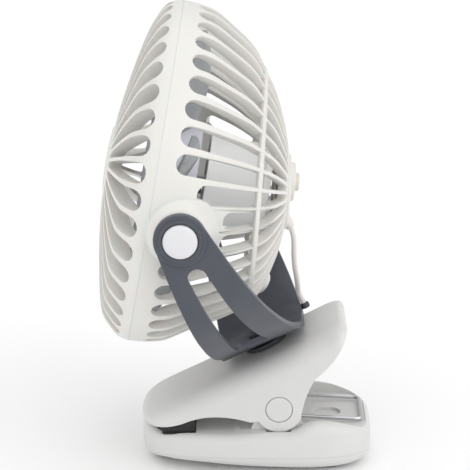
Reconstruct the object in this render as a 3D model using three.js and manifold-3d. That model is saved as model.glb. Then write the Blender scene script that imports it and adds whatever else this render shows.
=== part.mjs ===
// A small rechargeable clip fan: a round caged head on a U-shaped yoke that swivels on a spring clip.
// Millimetres. +Z is up, -Y is where the fan blows, X runs along the tilt pivot.
// The origin is the centre of the clip's underside, on the surface that it stands on.
import * as THREE from "three";
import { mergeVertices } from "three/addons/utils/BufferGeometryUtils.js";
import Module from "manifold-3d";

const wasm = await Module();
wasm.setup();

// ---------- driving dimensions ----------
const GAP = 0.3; // clearance kept between neighbouring pieces
const HEAD_RADIUS = 74.2; // outside of the cage's plain band
const HEAD_LEAN = 9.7; // degrees that the head looks upwards
const PIVOT = { y: -31.3, z: 123.35 }; // tilt axis, seen from the side
const PIVOT_BEHIND = 11.14; // tilt axis behind the head's parting plane
const PIVOT_BELOW = 4.7; // tilt axis below the head's own axis
const RIB_COUNT = 40; // ribs in each half of the cage
const RIB_WIDTH = 2.4;
const REAR_RIB_SHIFT = 4; // degrees that the rear ribs sit lower than the front ones
const REAR_LEAN = 0.1; // slope of the rear hub against the band: its foot stands further back
const FRONT_LEAN = 0.018; // and of the front face, whose foot stands a little further forward
const WALL = 2.4; // thickness of the moulded shells
const CLIP_SLOPE = 26.5; // degrees that the clip's back rises towards its handle
const SWIVEL = { y: 4.6, z: 51.4 }; // where the swivel axis meets the clip's back
const YOKE_HEIGHT = 80.4; // clip's back to tilt axis, along the swivel axis
const BAND = 2.6; // thickness of the yoke's band
const BAND_FLOOR = 2.9; // underside of the yoke above the clip's back
const BAND_HALF_TOP = 10.8; // half the band's width at the pivot
const BAND_HALF_FOOT = 19.6; // and at the swivel
const JAW_HALF = 24; // half the upper jaw's width
const AXLE = { y: 9.6, z: 28.8 }; // hinge of the clip
const BASE = { front: -50.5, rear: 50.5, half: 29, under: 1.2, seam: 8, top: 18.8 };
const WIRE_RADIUS = 0.9; // clamp spring's wire
const COIL_RADIUS = 6; // middle of the wire to the hinge axis
const CABLE_RADIUS = 1.2;
const BLADE_COUNT = 5;
const LATHE_STEPS = 40; // one for each rib, so that ribs meet the rings on whole facets

// ---------- finishes ----------
const finish = (color, roughness, metalness = 0) => () =>
  new THREE.MeshStandardMaterial({ color, roughness, metalness });
const whiteShell = finish(0xecebe8, 0.35);
const clipShell = finish(0xdcdcd9, 0.45);
const slatePlastic = finish(0x4e525b, 0.45);
const blackPlastic = finish(0x33343a, 0.5);
const blackRubber = finish(0x2a2a2a, 0.85);
const smokyPlastic = finish(0xb9bcc0, 0.25);
const buttonPlastic = finish(0xdad5cb, 0.4);
const steel = finish(0xb9bbbd, 0.3, 1);
const chromedWire = finish(0xd0d2d4, 0.15, 1);
const cableJacket = finish(0xe9e4e2, 0.5);
const boardGreen = finish(0x2d5a3c, 0.6);
const cellWrap = finish(0x3f6fa8, 0.5);
const clearLens = finish(0xe8efe8, 0.2);

// ---------- small geometry tools ----------
const rad = THREE.MathUtils.degToRad;
const point = (x, y, z) => new THREE.Vector3(x, y, z);

function solid(geometry) {
  const bare = geometry.index ? geometry.clone() : geometry;
  bare.deleteAttribute("normal");
  bare.deleteAttribute("uv");
  const welded = mergeVertices(bare, 1e-4);
  const mesh = new wasm.Mesh({
    numProp: 3,
    vertProperties: new Float32Array(welded.attributes.position.array),
    triVerts: new Uint32Array(welded.index.array),
  });
  return new wasm.Manifold(mesh);
}

function geometryOf(manifold) {
  const mesh = manifold.getMesh();
  const geometry = new THREE.BufferGeometry();
  geometry.setAttribute("position", new THREE.BufferAttribute(mesh.vertProperties, 3));
  geometry.setIndex(new THREE.BufferAttribute(mesh.triVerts, 1));
  geometry.computeVertexNormals();
  return geometry;
}

const joined = (first, ...others) => others.reduce((sum, next) => sum.add(next), first);
const cut = (first, ...tools) => tools.reduce((left, tool) => left.subtract(tool), first);

// A closed profile of [radius, height] pairs turned about the Y axis.
function turned(profile, steps = LATHE_STEPS) {
  const loop = profile.map(([r, s]) => new THREE.Vector2(r, s));
  const first = loop[0];
  if (first.x > 0 || loop[loop.length - 1].x > 0) loop.push(first.clone());
  return outward(new THREE.LatheGeometry(loop, steps));
}

function signedVolume(geometry) {
  const p = geometry.attributes.position;
  const index = geometry.index;
  const [a, b, c] = [point(), point(), point()];
  let sum = 0;
  for (let i = 0; i < index.count; i += 3) {
    a.fromBufferAttribute(p, index.getX(i));
    b.fromBufferAttribute(p, index.getX(i + 1));
    c.fromBufferAttribute(p, index.getX(i + 2));
    sum += a.dot(b.cross(c));
  }
  return sum / 6;
}

// Turns every face over where a shape came out with its inside facing out.
function outward(geometry) {
  if (signedVolume(geometry) > 0) return geometry;
  const order = geometry.index.array;
  for (let i = 0; i < order.length; i += 3) {
    [order[i], order[i + 1]] = [order[i + 1], order[i]];
  }
  return geometry;
}

// A closed body through rings of equally many points.
function loft(rings) {
  const size = rings[0].length;
  const places = rings.flat().flatMap((p) => [p.x, p.y, p.z]);
  const order = [];
  for (let k = 0; k < rings.length - 1; k++) {
    for (let i = 0; i < size; i++) {
      const here = k * size + i;
      const next = k * size + ((i + 1) % size);
      order.push(here, next, next + size, here, next + size, here + size);
    }
  }
  const last = (rings.length - 1) * size;
  for (let i = 1; i < size - 1; i++) {
    order.push(0, i + 1, i);
    order.push(last, last + i, last + i + 1);
  }
  const geometry = new THREE.BufferGeometry();
  geometry.setAttribute("position", new THREE.Float32BufferAttribute(places, 3));
  geometry.setIndex(order);
  return outward(geometry);
}

function outline(points) {
  return new THREE.Shape(points.map(([u, v]) => new THREE.Vector2(u, v)));
}

// A flat outline of [y, z] pairs made into a plate from x0 to x1.
function sidePlate(shape, x0, x1, curveSegments = 5) {
  const geometry = new THREE.ExtrudeGeometry(shape, {
    depth: x1 - x0,
    bevelEnabled: false,
    curveSegments,
  });
  const turn = new THREE.Matrix4().makeBasis(point(0, 1, 0), point(0, 0, 1), point(1, 0, 0));
  return geometry.applyMatrix4(turn).translate(x0, 0, 0);
}

// A flat outline of [x, y] pairs made into a slab from z0 to z1.
function slab(shape, z0, z1, curveSegments = 4) {
  const options = { depth: z1 - z0, bevelEnabled: false, curveSegments };
  return new THREE.ExtrudeGeometry(shape, options).translate(0, 0, z0);
}

function box(x0, x1, y0, y1, z0, z1) {
  const geometry = new THREE.BoxGeometry(x1 - x0, y1 - y0, z1 - z0);
  return geometry.translate((x0 + x1) / 2, (y0 + y1) / 2, (z0 + z1) / 2);
}

function rod(radius, from, to, steps = 14) {
  const cylinder = new THREE.CylinderGeometry(radius, radius, to - from, steps);
  return cylinder.translate(0, (from + to) / 2, 0);
}

const alongX = (geometry) => geometry.rotateZ(-Math.PI / 2);
const alongZ = (geometry) => geometry.rotateX(Math.PI / 2);

function discOutline(y, z, radius) {
  const shape = new THREE.Shape();
  shape.absarc(y, z, radius, 0, Math.PI * 2);
  return shape;
}

function place(name, geometry, material, parent) {
  const mesh = new THREE.Mesh(geometry, material());
  mesh.name = name;
  parent.add(mesh);
  return mesh;
}

// A pan-head screw pointing down the Y axis, with its head's underside at the origin.
function screw(shank, length, head, headHeight) {
  return turned([
    [0, headHeight], [head * 0.7, headHeight], [head, headHeight * 0.5], [head, 0],
    [shank, 0], [shank, shank - length], [0, -length],
  ], 6);
}

// ---------- the assembly's frames ----------
const fan = new THREE.Group();
const tiltFrame = new THREE.Group();
const REAR_HUB = 54; // middle of the rear hub along the head's axis
const rearHub = new THREE.Group(); // leans about that point
rearHub.rotation.x = Math.atan(REAR_LEAN);
rearHub.position.set(
  0, REAR_HUB * (1 - Math.cos(rearHub.rotation.x)), -REAR_HUB * Math.sin(rearHub.rotation.x),
);
tiltFrame.position.set(0, PIVOT.y, PIVOT.z);
tiltFrame.rotation.x = rad(-HEAD_LEAN);
const head = new THREE.Group();
head.position.set(0, -PIVOT_BEHIND, PIVOT_BELOW);
tiltFrame.add(head);
head.add(rearHub);
const swivelFrame = new THREE.Group();
swivelFrame.position.set(0, SWIVEL.y, SWIVEL.z);
swivelFrame.rotation.x = rad(CLIP_SLOPE);
fan.add(tiltFrame, swivelFrame);

// ---------- the caged head: local Y is the head's axis, from the parting plane backwards ----------
const RIB_FRONT = [
  [73.4, -4.2], [70.9, -9.2], [63.8, -14.4], [37, -20.4], [19, -22.9],
  [19, -18.6], [37, -14.8], [58, -9.2], [68, -5], [71.8, -3.6],
];
const RIB_REAR = [
  [73.9, 2], [71.5, 13], [61.4, 29.4], [52, 41.4], [44.9, 46.1], [37, 49.7], [30, 51.9], [19, 54.6],
  [19, 51], [42, 42.4], [60, 26], [71.8, 2],
];

// Radial blades of the cage, cut to one outline and spread round the head.
function cageRibs(profile, firstAngle) {
  const shape = outline(profile);
  const blade = new THREE.ExtrudeGeometry(shape, { depth: RIB_WIDTH, bevelEnabled: false });
  blade.translate(0, 0, -RIB_WIDTH / 2);
  const ribs = [];
  for (let i = 0; i < RIB_COUNT; i++) {
    ribs.push(solid(blade.clone().rotateY(rad(firstAngle + (i * 360) / RIB_COUNT))));
  }
  return joined(...ribs);
}

// A ring of the cage, turned so that each rib meets the middle of a facet.
function cageRing(profile, shift) {
  return solid(turned(profile).rotateY(rad(180 / RIB_COUNT + shift)));
}

// Leans the cage's faces against its band, less and less towards the rim.
function leaned(manifold) {
  const share = (r, rim, whole) => THREE.MathUtils.smoothstep(rim - r, 0, rim - whole);
  return manifold.warp((v) => {
    const r = Math.hypot(v[0], v[2]);
    v[1] += v[2] * (v[1] > 0 ? -REAR_LEAN * share(r, 66, 47) : FRONT_LEAN * share(r, 72, 64));
  });
}

function frontGrille() {
  const band = cageRing([
    [71.6, -2.5], [HEAD_RADIUS, -2.5], [73.2, -6.4], [71.2, -6.4],
  ], 0);
  const hub = cageRing([[16, -19.2], [21, -18.2], [21, -22.7], [16, -23.4]], 0);
  return geometryOf(leaned(joined(cageRibs(RIB_FRONT, 0), band, hub)));
}

function frontCap() {
  return turned([[0, -21.4], [15.7, -21], [15.7, -23.2], [12, -24], [0, -24.4]], 16);
}

// The bosses that carry the tilt pivot stand out of the rear half on both sides.
function pivotBosses() {
  const cone = new THREE.CylinderGeometry(13, 15, 10.4, 24).translate(0, 72.3, 0);
  const right = alongX(cone).translate(0, PIVOT_BEHIND, -PIVOT_BELOW);
  const left = right.clone().rotateZ(Math.PI).translate(0, 2 * PIVOT_BEHIND, 0);
  return [solid(right), solid(left)];
}

function pivotPatches() {
  const shell = cageRing([
    [71.8, 3], [73.8, 3], [71.5, 13], [60.8, 30], [58.6, 28.6], [69.2, 12],
  ], REAR_RIB_SHIFT);
  const reach = alongX(rod(18, -90, 90, 20)).translate(0, PIVOT_BEHIND, -PIVOT_BELOW);
  return shell.intersect(solid(reach));
}

// A small rounded boss low on the rear half, across two ribs.
function footBoss() {
  const mound = new THREE.SphereGeometry(1, 12, 7).scale(5.1, 2.6, 5.1).rotateX(rad(-20));
  return solid(mound.translate(9, 51.2, -39.6));
}

function rearGrille() {
  const band = cageRing([
    [71.6, -2.2], [71.3, 4.8], [73.7, 4.8], [HEAD_RADIUS, -2.2],
  ], REAR_RIB_SHIFT);
  const hub = cageRing([[16.6, 49], [21, 49], [21, 54.2], [16.6, 55]], REAR_RIB_SHIFT);
  const ring = cageRing([[49, 41.2], [50.7, 39.5], [52, 40.8], [50.3, 42.5]], REAR_RIB_SHIFT);
  const cage = leaned(joined(cageRibs(RIB_REAR, REAR_RIB_SHIFT), band, hub, ring));
  const whole = joined(cage, pivotPatches(), footBoss(), ...pivotBosses());
  const inside = solid(box(-80, 80, -20, -2.2, -80, 80));
  const screwHole = solid(alongX(rod(1.8, -80, 80, 12)).translate(0, PIVOT_BEHIND, -PIVOT_BELOW));
  const core = solid(rod(68.5, -20, 16, LATHE_STEPS));
  return geometryOf(cut(whole, inside, screwHole.subtract(core)));
}

const BUTTON_UP = 4.6; // power button above the middle of the rear hub
const LEAD_OUT = { s: 55.6, z: -12.4, dip: 55.7 }; // the lead leaves below it, dipping by this angle

function rearCap() {
  const disc = turned([[0, 53.1], [16.2, 53.1], [16.2, 55.5], [14.8, 56.3], [0, 56.3]], 16);
  const bezel = turned([[0, 54.5], [8.4, 54.5], [8.4, 57.6], [7.6, 58.2], [0, 58.2]], 16);
  const hole = rod(4.3, 50, 62, 20);
  for (const raised of [bezel, hole]) raised.translate(0, 0, BUTTON_UP);
  const leadHole = solid(atLeadOut(rod(2.6, -4, 7, 16)));
  return geometryOf(cut(solid(disc).add(solid(bezel)), solid(hole), leadHole));
}

function powerButton() {
  const knob = turned([
    [0, 51.4], [5.4, 51.4], [5.4, 52.5], [3.9, 52.5], [3.9, 59.6], [3.3, 60.1], [0, 60.1],
  ], 14);
  return knob.translate(0, 0, BUTTON_UP);
}

function switchBoard() {
  const board = solid(rod(14, 48.8, 49.8, 24));
  const key = solid(box(-3, 3, 49.7, 50.3, BUTTON_UP - 3, BUTTON_UP + 3));
  return geometryOf(board.add(key));
}

function motorHousing() {
  const cup = turned([
    [17.2, 19], [19, 19], [19, 42.6], [20.6, 43.6], [20.6, 46.4], [18.8, 46.4], [18.8, MOTOR_FLOOR],
    [3, MOTOR_FLOOR], [3, 42.6], [17.2, 42.6],
  ], 16);
  return geometryOf(cut(solid(cup), ...motorScrewBores()));
}

const MOTOR_SCREW_OUT = 9;
const MOTOR_FLOOR = 44.4; // outside of the housing's floor, on which the motor is screwed
const motorScrewBores = () =>
  [1, -1].map((side) => solid(rod(1.4, 37.7, 60, 8).translate(side * MOTOR_SCREW_OUT, 0, 0)));

function motorCan() {
  const can = turned([
    [0, 42], [14, 42], [15.8, 40.2], [15.8, 23], [14.4, 22], [1.9, 22], [1.9, 38], [0, 38],
  ], 16);
  return geometryOf(cut(solid(can), ...motorScrewBores()));
}

function motorShaft() {
  return turned([[0, -4.5], [1.5, -4.5], [1.5, 37.2], [0, 37.2]], 12);
}

// Five swept blades twisted about their radius, on a cup that hides the motor's shaft.
function impeller() {
  const hub = solid(turned([
    [0, -8], [17, -8], [20, -6.4], [21, -3], [21, 15], [19.2, 15], [19.2, -4.4], [3.6, -5.6],
    [3.6, 6], [1.8, 6], [1.8, -5.2], [0, -5.2],
  ], 16));
  const blades = [];
  for (let i = 0; i < BLADE_COUNT; i++) {
    blades.push(solid(fanBlade().rotateY((i * 2 * Math.PI) / BLADE_COUNT)));
  }
  return geometryOf(joined(hub, ...blades));
}

function fanBlade() {
  const rings = [];
  for (let k = 0; k <= 5; k++) {
    const f = k / 5;
    const radius = 19.8 + f * 43.2;
    const chord = 20 + 26 * Math.sin(f * 2.1);
    const pitch = rad(42 - 22 * f);
    const sweep = rad(14 * f * f);
    const ring = [];
    for (const [along, lift] of [[-0.5, -0.6], [0.5, -0.6], [0.5, 0.6], [0, 2.4], [-0.5, 0.6]]) {
      const across = along * chord * Math.cos(pitch) - lift * Math.sin(pitch);
      const axial = along * chord * Math.sin(pitch) + lift * Math.cos(pitch);
      const turn = sweep + across / radius;
      ring.push(point(radius * Math.cos(turn), 3.5 + axial, radius * Math.sin(turn)));
    }
    rings.push(ring);
  }
  return loft(rings);
}

function makeHead() {
  place("front_grille", frontGrille(), whiteShell, head);
  place("front_cap", frontCap(), whiteShell, head);
  place("rear_grille", rearGrille(), whiteShell, head);
  place("rear_cap", rearCap(), whiteShell, rearHub);
  place("power_button", powerButton(), buttonPlastic, rearHub);
  place("switch_board", switchBoard(), boardGreen, rearHub);
  place("motor_housing", motorHousing(), whiteShell, head);
  place("motor", motorCan(), steel, head);
  place("motor_shaft", motorShaft(), steel, head);
  place("impeller", impeller(), smokyPlastic, head);
  for (const side of [1, -1]) {
    const fixing = place(`motor_screw_${side > 0 ? 1 : 2}`, screw(1.1, 6.2, 2, 1), steel, head);
    fixing.position.set(side * MOTOR_SCREW_OUT, MOTOR_FLOOR + GAP, 0);
  }
}

// ---------- yoke: local Z is the swivel axis, from the clip's back upwards ----------
// The band's outer face, as [x, height above its foot], from the middle of the foot to the pivot.
const BAND_RISE = [
  [0, 0], [9, 0], [17, 2.2], [26, 5.6], [36, 10], [46, 15.6], [54.5, 21.6], [66, 32], [74, 43],
  [79, 55], [81.2, 67], [81.5, YOKE_HEIGHT - BAND_FLOOR],
];

function bandStations() {
  const half = new THREE.CatmullRomCurve3(BAND_RISE.map(([x, z]) => point(x, 0, z + BAND_FLOOR)));
  const rise = half.getSpacedPoints(13);
  const mirror = rise.slice(1).map((p) => point(-p.x, 0, p.z));
  return [...mirror.reverse(), ...rise];
}

function bandHalfWidth(z) {
  const f = (z - BAND_FLOOR) / (YOKE_HEIGHT - BAND_FLOOR);
  return BAND_HALF_FOOT + (BAND_HALF_TOP - BAND_HALF_FOOT) * f;
}

// How much the bends beside the foot stand up, most along their front edge.
function footLift(x, y, z) {
  const beside = THREE.MathUtils.smoothstep(Math.abs(x), 6, 18);
  const low = 1 - THREE.MathUtils.smoothstep(z, 12, 42);
  return (1.1 - 0.058 * y) * beside * low;
}

function yokeBand() {
  const line = bandStations();
  const rings = line.map((p, i) => {
    const before = line[Math.max(i - 1, 0)];
    const after = line[Math.min(i + 1, line.length - 1)];
    const run = after.clone().sub(before).normalize();
    const inward = point(-run.z, 0, run.x).multiplyScalar(BAND);
    const half = bandHalfWidth(p.z);
    const inner = p.clone().add(inward);
    const corner = ({ x, z }, y) => point(x, y, z + footLift(x, y, z));
    return [corner(p, -half), corner(p, half), corner(inner, half), corner(inner, -half)];
  });
  return solid(loft(rings));
}

// The long window in each arm, narrow at the top and wider towards the foot.
function armWindow() {
  const shape = new THREE.Shape();
  const [top, foot] = [YOKE_HEIGHT - 13.3, 10.6];
  const [rTop, rFoot] = [3.9, 7.2];
  shape.absarc(0, top - rTop, rTop, 0, Math.PI);
  shape.lineTo(-rFoot, foot + 3.4);
  shape.quadraticCurveTo(-rFoot, foot, -rFoot + 3.4, foot);
  shape.lineTo(rFoot - 3.4, foot);
  shape.quadraticCurveTo(rFoot, foot, rFoot, foot + 3.4);
  return solid(sidePlate(shape, -95, 95).translate(0, -1.1, 0));
}

function yoke() {
  const ends = [];
  for (const side of [1, -1]) {
    const x = side > 0 ? 78.9 : -82.4;
    const step = side > 0 ? 82.3 : -83;
    ends.push(solid(sidePlate(discOutline(0, YOKE_HEIGHT, BAND_HALF_TOP), x, x + 3.5, 10)));
    ends.push(solid(sidePlate(discOutline(0, YOKE_HEIGHT, 9), step, step + 0.7, 8)));
  }
  const recess = (x0, x1, r) => solid(sidePlate(discOutline(0, YOKE_HEIGHT, r), x0, x1, 8));
  const seat = solid(alongZ(rod(10, BAND_FLOOR, BAND_FLOOR + 3, 20)));
  const screwHole = solid(alongZ(rod(2.2, 0, 12, 16)));
  const lug = solid(alongZ(rod(3.1, 2.9, 5.6, 16)).translate(YOKE_PORT.x, YOKE_PORT.y, 0));
  const cablePort = solid(alongZ(rod(2.3, 3.7, 12, 16)).translate(YOKE_PORT.x, YOKE_PORT.y, 0));
  return geometryOf(cut(
    joined(yokeBand(), seat, lug, ...ends), armWindow(), screwHole, cablePort,
    recess(81, 90, 7.3), recess(-90, -81, 7.3), recess(-90, 90, 2),
  ));
}

const YOKE_PORT = { x: -12, y: 21.2 }; // lug on the foot's rear edge, where the lead ends

function makePivot(side, label) {
  const at = (geometry) => {
    const turnedOut = alongX(geometry);
    if (side < 0) turnedOut.rotateZ(Math.PI);
    return turnedOut.translate(0, 0, YOKE_HEIGHT);
  };
  const washer = turned([[4, 77.8], [9, 77.8], [9, 78.6], [4, 78.6]], 16);
  place(`pivot_washer_${label}`, at(washer), blackRubber, swivelFrame);
  const fixing = screw(1.4, 10, 3.2, 1.2).translate(0, 81.3, 0);
  place(`pivot_screw_${label}`, at(fixing), steel, swivelFrame);
  const cap = turned([
    [0, 82.9], [4.6, 82.9], [4.6, 81.3], [6.95, 81.3], [6.95, 83.6], [5.4, 84.5], [0, 84.8],
  ], 16);
  place(`pivot_cap_${label}`, at(cap), whiteShell, swivelFrame);
}

function makeYoke() {
  place("yoke", yoke(), slatePlastic, swivelFrame);
  const disc = alongZ(turned([[2.2, GAP], [10, GAP], [10, 2.2], [9.6, 2.6], [2.2, 2.6]], 16));
  place("swivel_disc", disc, blackPlastic, swivelFrame);
  const washer = alongZ(turned([[2.2, -4.4], [7, -4.4], [7, -3.2], [2.2, -3.2]], 16));
  place("swivel_washer", washer, steel, swivelFrame);
  const post = alongZ(turned([
    [0, -7.6], [1.8, -7.6], [1.8, 6.2], [4.2, 6.2], [4.2, 7.6], [0, 7.6],
  ], 16));
  place("swivel_post", post, steel, swivelFrame);
  const nut = alongZ(turned([[2.1, -7], [4, -7], [4, -4.7], [2.1, -4.7]], 6));
  place("swivel_nut", nut, steel, swivelFrame);
  const cover = alongZ(turned([
    [0, 7.9], [4.6, 7.9], [4.6, 6.2], [6.4, 6.2], [6.4, 8.1], [5, 8.7], [0, 8.7],
  ], 16));
  place("swivel_cover", cover, blackPlastic, swivelFrame);
  for (const [side, label] of [[1, "right"], [-1, "left"]]) makePivot(side, label);
  const port = alongZ(turned([[1.55, 4], [2, 4], [2, 6], [1.8, 6.8], [1.55, 6.8]], 16));
  place("yoke_gland", port.translate(YOKE_PORT.x, YOKE_PORT.y, 0), slatePlastic, swivelFrame);
}

// ---------- the clip ----------
function jawOutline() {
  const shape = new THREE.Shape();
  shape.moveTo(-47.5, 20.3);
  shape.quadraticCurveTo(-39.5, 19.9, -32.4, 22.2);
  shape.quadraticCurveTo(-19, 28.4, -1.1, 22.2);
  shape.absarc(AXLE.y, AXLE.z, 10.3, rad(212), rad(338));
  shape.quadraticCurveTo(20.6, 36, 25.6, 43.3);
  shape.quadraticCurveTo(35, 51, 38.9, 63);
  shape.quadraticCurveTo(39.4, 67.6, 35.4, 66.9);
  shape.lineTo(-36, 31.4);
  shape.quadraticCurveTo(-49, 27, -50.9, 23.8);
  shape.quadraticCurveTo(-51.4, 20.6, -47.5, 20.3);
  return shape;
}

function jawHollow() {
  return outline([
    [-46, 10], [-47.2, 23.6], [-36.6, 28.6], [34.2, 63.8], [36.4, 62.8], [33, 54], [60, 40], [40, 10],
  ]);
}

// Rounds the jaw's ends as seen from above.
function jawPlan(half, grow) {
  const shape = new THREE.Shape();
  const [front, rear] = [-51.5 - grow, 39.4 + grow];
  shape.moveTo(-half, front + 16);
  shape.bezierCurveTo(-half, front + 4, -half + 8, front, 0, front);
  shape.bezierCurveTo(half - 8, front, half, front + 4, half, front + 16);
  shape.lineTo(half, rear - 8);
  shape.bezierCurveTo(half, rear - 2, half - 4, rear, half - 10, rear);
  shape.lineTo(10 - half, rear);
  shape.bezierCurveTo(4 - half, rear, -half, rear - 2, -half, rear - 8);
  return shape;
}

// The clip's back is crowned, with well rounded long edges.
function jawSection(half, crown, corner) {
  const shape = new THREE.Shape();
  shape.moveTo(-half, -90);
  shape.lineTo(half, -90);
  shape.lineTo(half, -corner);
  shape.quadraticCurveTo(half, -crown, half - corner, -crown);
  shape.quadraticCurveTo(0, crown, -half + corner, -crown);
  shape.quadraticCurveTo(-half, -crown, -half, -corner);
  return shape;
}

function jawBody(shape, half, grow, drop) {
  const side = solid(sidePlate(shape, -half, half, 5));
  const plan = solid(slab(jawPlan(half, grow), -20, 120, 4));
  const section = slab(jawSection(half, 0.8, 9), -100, 100).rotateX(rad(90 + CLIP_SLOPE));
  section.translate(0, SWIVEL.y, SWIVEL.z - drop);
  return side.intersect(plan).intersect(solid(section));
}

// A rod through the clip's back on the swivel axis.
function swivelRod(radius, from, to) {
  const upright = alongZ(rod(radius, from, to, 20)).rotateX(rad(CLIP_SLOPE));
  return solid(upright.translate(0, SWIVEL.y, SWIVEL.z));
}

// A rod on the clip's hinge axis.
function hingeRod(radius, from, to, steps = 16) {
  return solid(alongX(rod(radius, from, to, steps)).translate(0, AXLE.y, AXLE.z));
}

function upperJaw() {
  const outer = jawBody(jawOutline(), JAW_HALF, 0, 0.4);
  const inner = jawBody(jawHollow(), JAW_HALF - 2.2, -2.4, 2.8);
  const capSeats = [hingeRod(6, 22.6, 40, 20), hingeRod(6, -40, -22.6, 20)];
  const table = swivelRod(10.6, -2.9, 0);
  const shell = cut(outer, inner).add(table);
  return geometryOf(cut(shell, hingeRod(2.2, -40, 40), ...capSeats, swivelRod(2.4, -20, 20)));
}

function jawPad() {
  const shape = new THREE.Shape();
  shape.moveTo(-43.8, 19.8);
  shape.lineTo(-41, 18);
  shape.lineTo(-28, 18);
  shape.quadraticCurveTo(-27, 18, -27, 19);
  shape.lineTo(-27, 24);
  shape.quadraticCurveTo(-31.5, 21.6, -35, 20.5);
  shape.quadraticCurveTo(-38, 19.8, -43.8, 19.8);
  return sidePlate(shape, -22.6, 22.6);
}

function makeJaw() {
  place("upper_jaw", upperJaw(), clipShell, fan);
  place("jaw_pad", jawPad(), blackRubber, fan);
  for (const [side, label] of [[1, "right"], [-1, "left"]]) {
    const cap = alongX(rod(5.7, side > 0 ? 22.9 : -24.1, side > 0 ? 24.1 : -22.9, 20));
    place(`axle_cap_${label}`, cap.translate(0, AXLE.y, AXLE.z), clipShell, fan);
  }
  place("jaw_axle", alongX(rod(1.9, -22.3, 22.3, 16)).translate(0, AXLE.y, AXLE.z), steel, fan);
}

// One wire: from under the handle, round the hinge, out to a loop on the clip's tail and back again.
const COIL_TURNS = 3 + 120 / 360;
const COIL_INNER = 3.6;
const COIL_OUTER = 13;

function springHalf() {
  const steps = Math.round(COIL_TURNS * 8);
  const start = rad(150);
  const lead = point(0, Math.cos(rad(60)), Math.sin(rad(60))).multiplyScalar(25);
  const path = [];
  const onCoil = (f) => {
    const angle = start + f * COIL_TURNS * 2 * Math.PI;
    const x = COIL_INNER + (COIL_OUTER - COIL_INNER) * f;
    return point(x, AXLE.y + COIL_RADIUS * Math.cos(angle), AXLE.z + COIL_RADIUS * Math.sin(angle));
  };
  path.push(onCoil(0).add(lead));
  for (let i = 0; i <= steps; i++) path.push(onCoil(i / steps));
  path.push(point(COIL_OUTER, 19.4, 21.7), point(COIL_OUTER, 43.6, 20.3));
  path.push(point(COIL_OUTER - 1.6, 46.4, 20.2));
  return path;
}

// A round wire along straight pieces, mitred at each corner.
function wireAlong(path, radius, sides) {
  const rings = [];
  let up = point(1, 0, 0);
  for (let i = 0; i < path.length; i++) {
    const before = path[Math.max(i - 1, 0)];
    const after = path[Math.min(i + 1, path.length - 1)];
    const run = after.clone().sub(before).normalize();
    up = up.sub(run.clone().multiplyScalar(up.dot(run))).normalize();
    const across = run.clone().cross(up);
    const ring = [];
    for (let k = 0; k < sides; k++) {
      const angle = (k * 2 * Math.PI) / sides;
      const corner = path[i].clone().addScaledVector(up, radius * Math.cos(angle));
      ring.push(corner.addScaledVector(across, radius * Math.sin(angle)));
    }
    rings.push(ring);
  }
  return loft(rings);
}

function clampSpring() {
  const half = springHalf();
  const mirror = half.map((p) => point(-p.x, p.y, p.z)).reverse();
  const path = [...half, ...mirror];
  console.log("clamp spring, least gap to itself:", leastGap(path, WIRE_RADIUS).toFixed(2), "mm");
  return wireAlong(path, WIRE_RADIUS, 5);
}

// Least clear distance between two parts of a wire that lie over four widths apart along it.
function leastGap(path, radius) {
  const line = new THREE.CurvePath();
  for (let i = 1; i < path.length; i++) line.add(new THREE.LineCurve3(path[i - 1], path[i]));
  const length = line.getLength();
  const samples = line.getSpacedPoints(900);
  const apart = Math.ceil((8 * radius * 900) / length);
  let least = Infinity;
  for (let i = 0; i < samples.length; i++) {
    for (let k = i + apart; k < samples.length; k++) {
      least = Math.min(least, samples[i].distanceTo(samples[k]));
    }
  }
  return least - 2 * radius;
}

// ---------- base of the clip ----------
function basePlan(inset) {
  const half = BASE.half - inset;
  const front = BASE.front + inset;
  const rear = BASE.rear - inset;
  const shape = new THREE.Shape();
  shape.moveTo(0, front);
  shape.bezierCurveTo(half * 0.62, front, half * 0.86, front + 6, half * 0.93, front + 22);
  shape.bezierCurveTo(half, front + 40, half, 0, half, 14);
  shape.bezierCurveTo(half, rear - 10, half - 5, rear, half * 0.24, rear);
  shape.lineTo(-half * 0.24, rear);
  shape.bezierCurveTo(-half + 5, rear, -half, rear - 10, -half, 14);
  shape.bezierCurveTo(-half, 0, -half, front + 40, -half * 0.93, front + 22);
  shape.bezierCurveTo(-half * 0.86, front + 6, -half * 0.62, front, 0, front);
  return shape;
}

const TAIL = { from: 21, floor: 18.6, lip: 23.6 }; // recess behind the hinge, with a raised rim

// Raised rim round the tail, highest beside the hinge and falling towards the rear.
function tailRim() {
  const ringPlan = solid(slab(basePlan(1.2), 10, 40));
  const side = solid(sidePlate(outline([
    [17, 18], [TAIL.from, 23], [26, TAIL.lip], [34, 23], [44, 20.6], [48.6, 19.4], [49.4, 18],
  ]), -40, 40));
  return ringPlan.intersect(side);
}

function tailRecess() {
  const shape = new THREE.Shape();
  const [half, front, rear] = [23, 12, 48.2];
  shape.moveTo(-half, front);
  shape.lineTo(half, front);
  shape.lineTo(half, rear - 15);
  shape.quadraticCurveTo(half - 1, rear, half - 9, rear);
  shape.lineTo(-half + 9, rear);
  shape.quadraticCurveTo(-half + 1, rear, -half, rear - 15);
  return solid(slab(shape, TAIL.floor, 40, 6));
}

function ear(x0) {
  const shape = new THREE.Shape();
  shape.moveTo(-3.2, 17);
  shape.lineTo(22, 17);
  shape.lineTo(17.4, 26.4);
  shape.absarc(AXLE.y, AXLE.z, 6.6, rad(10), rad(170));
  shape.lineTo(-0.6, 24);
  return solid(sidePlate(shape, x0, x0 + 3.8, 8));
}

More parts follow.
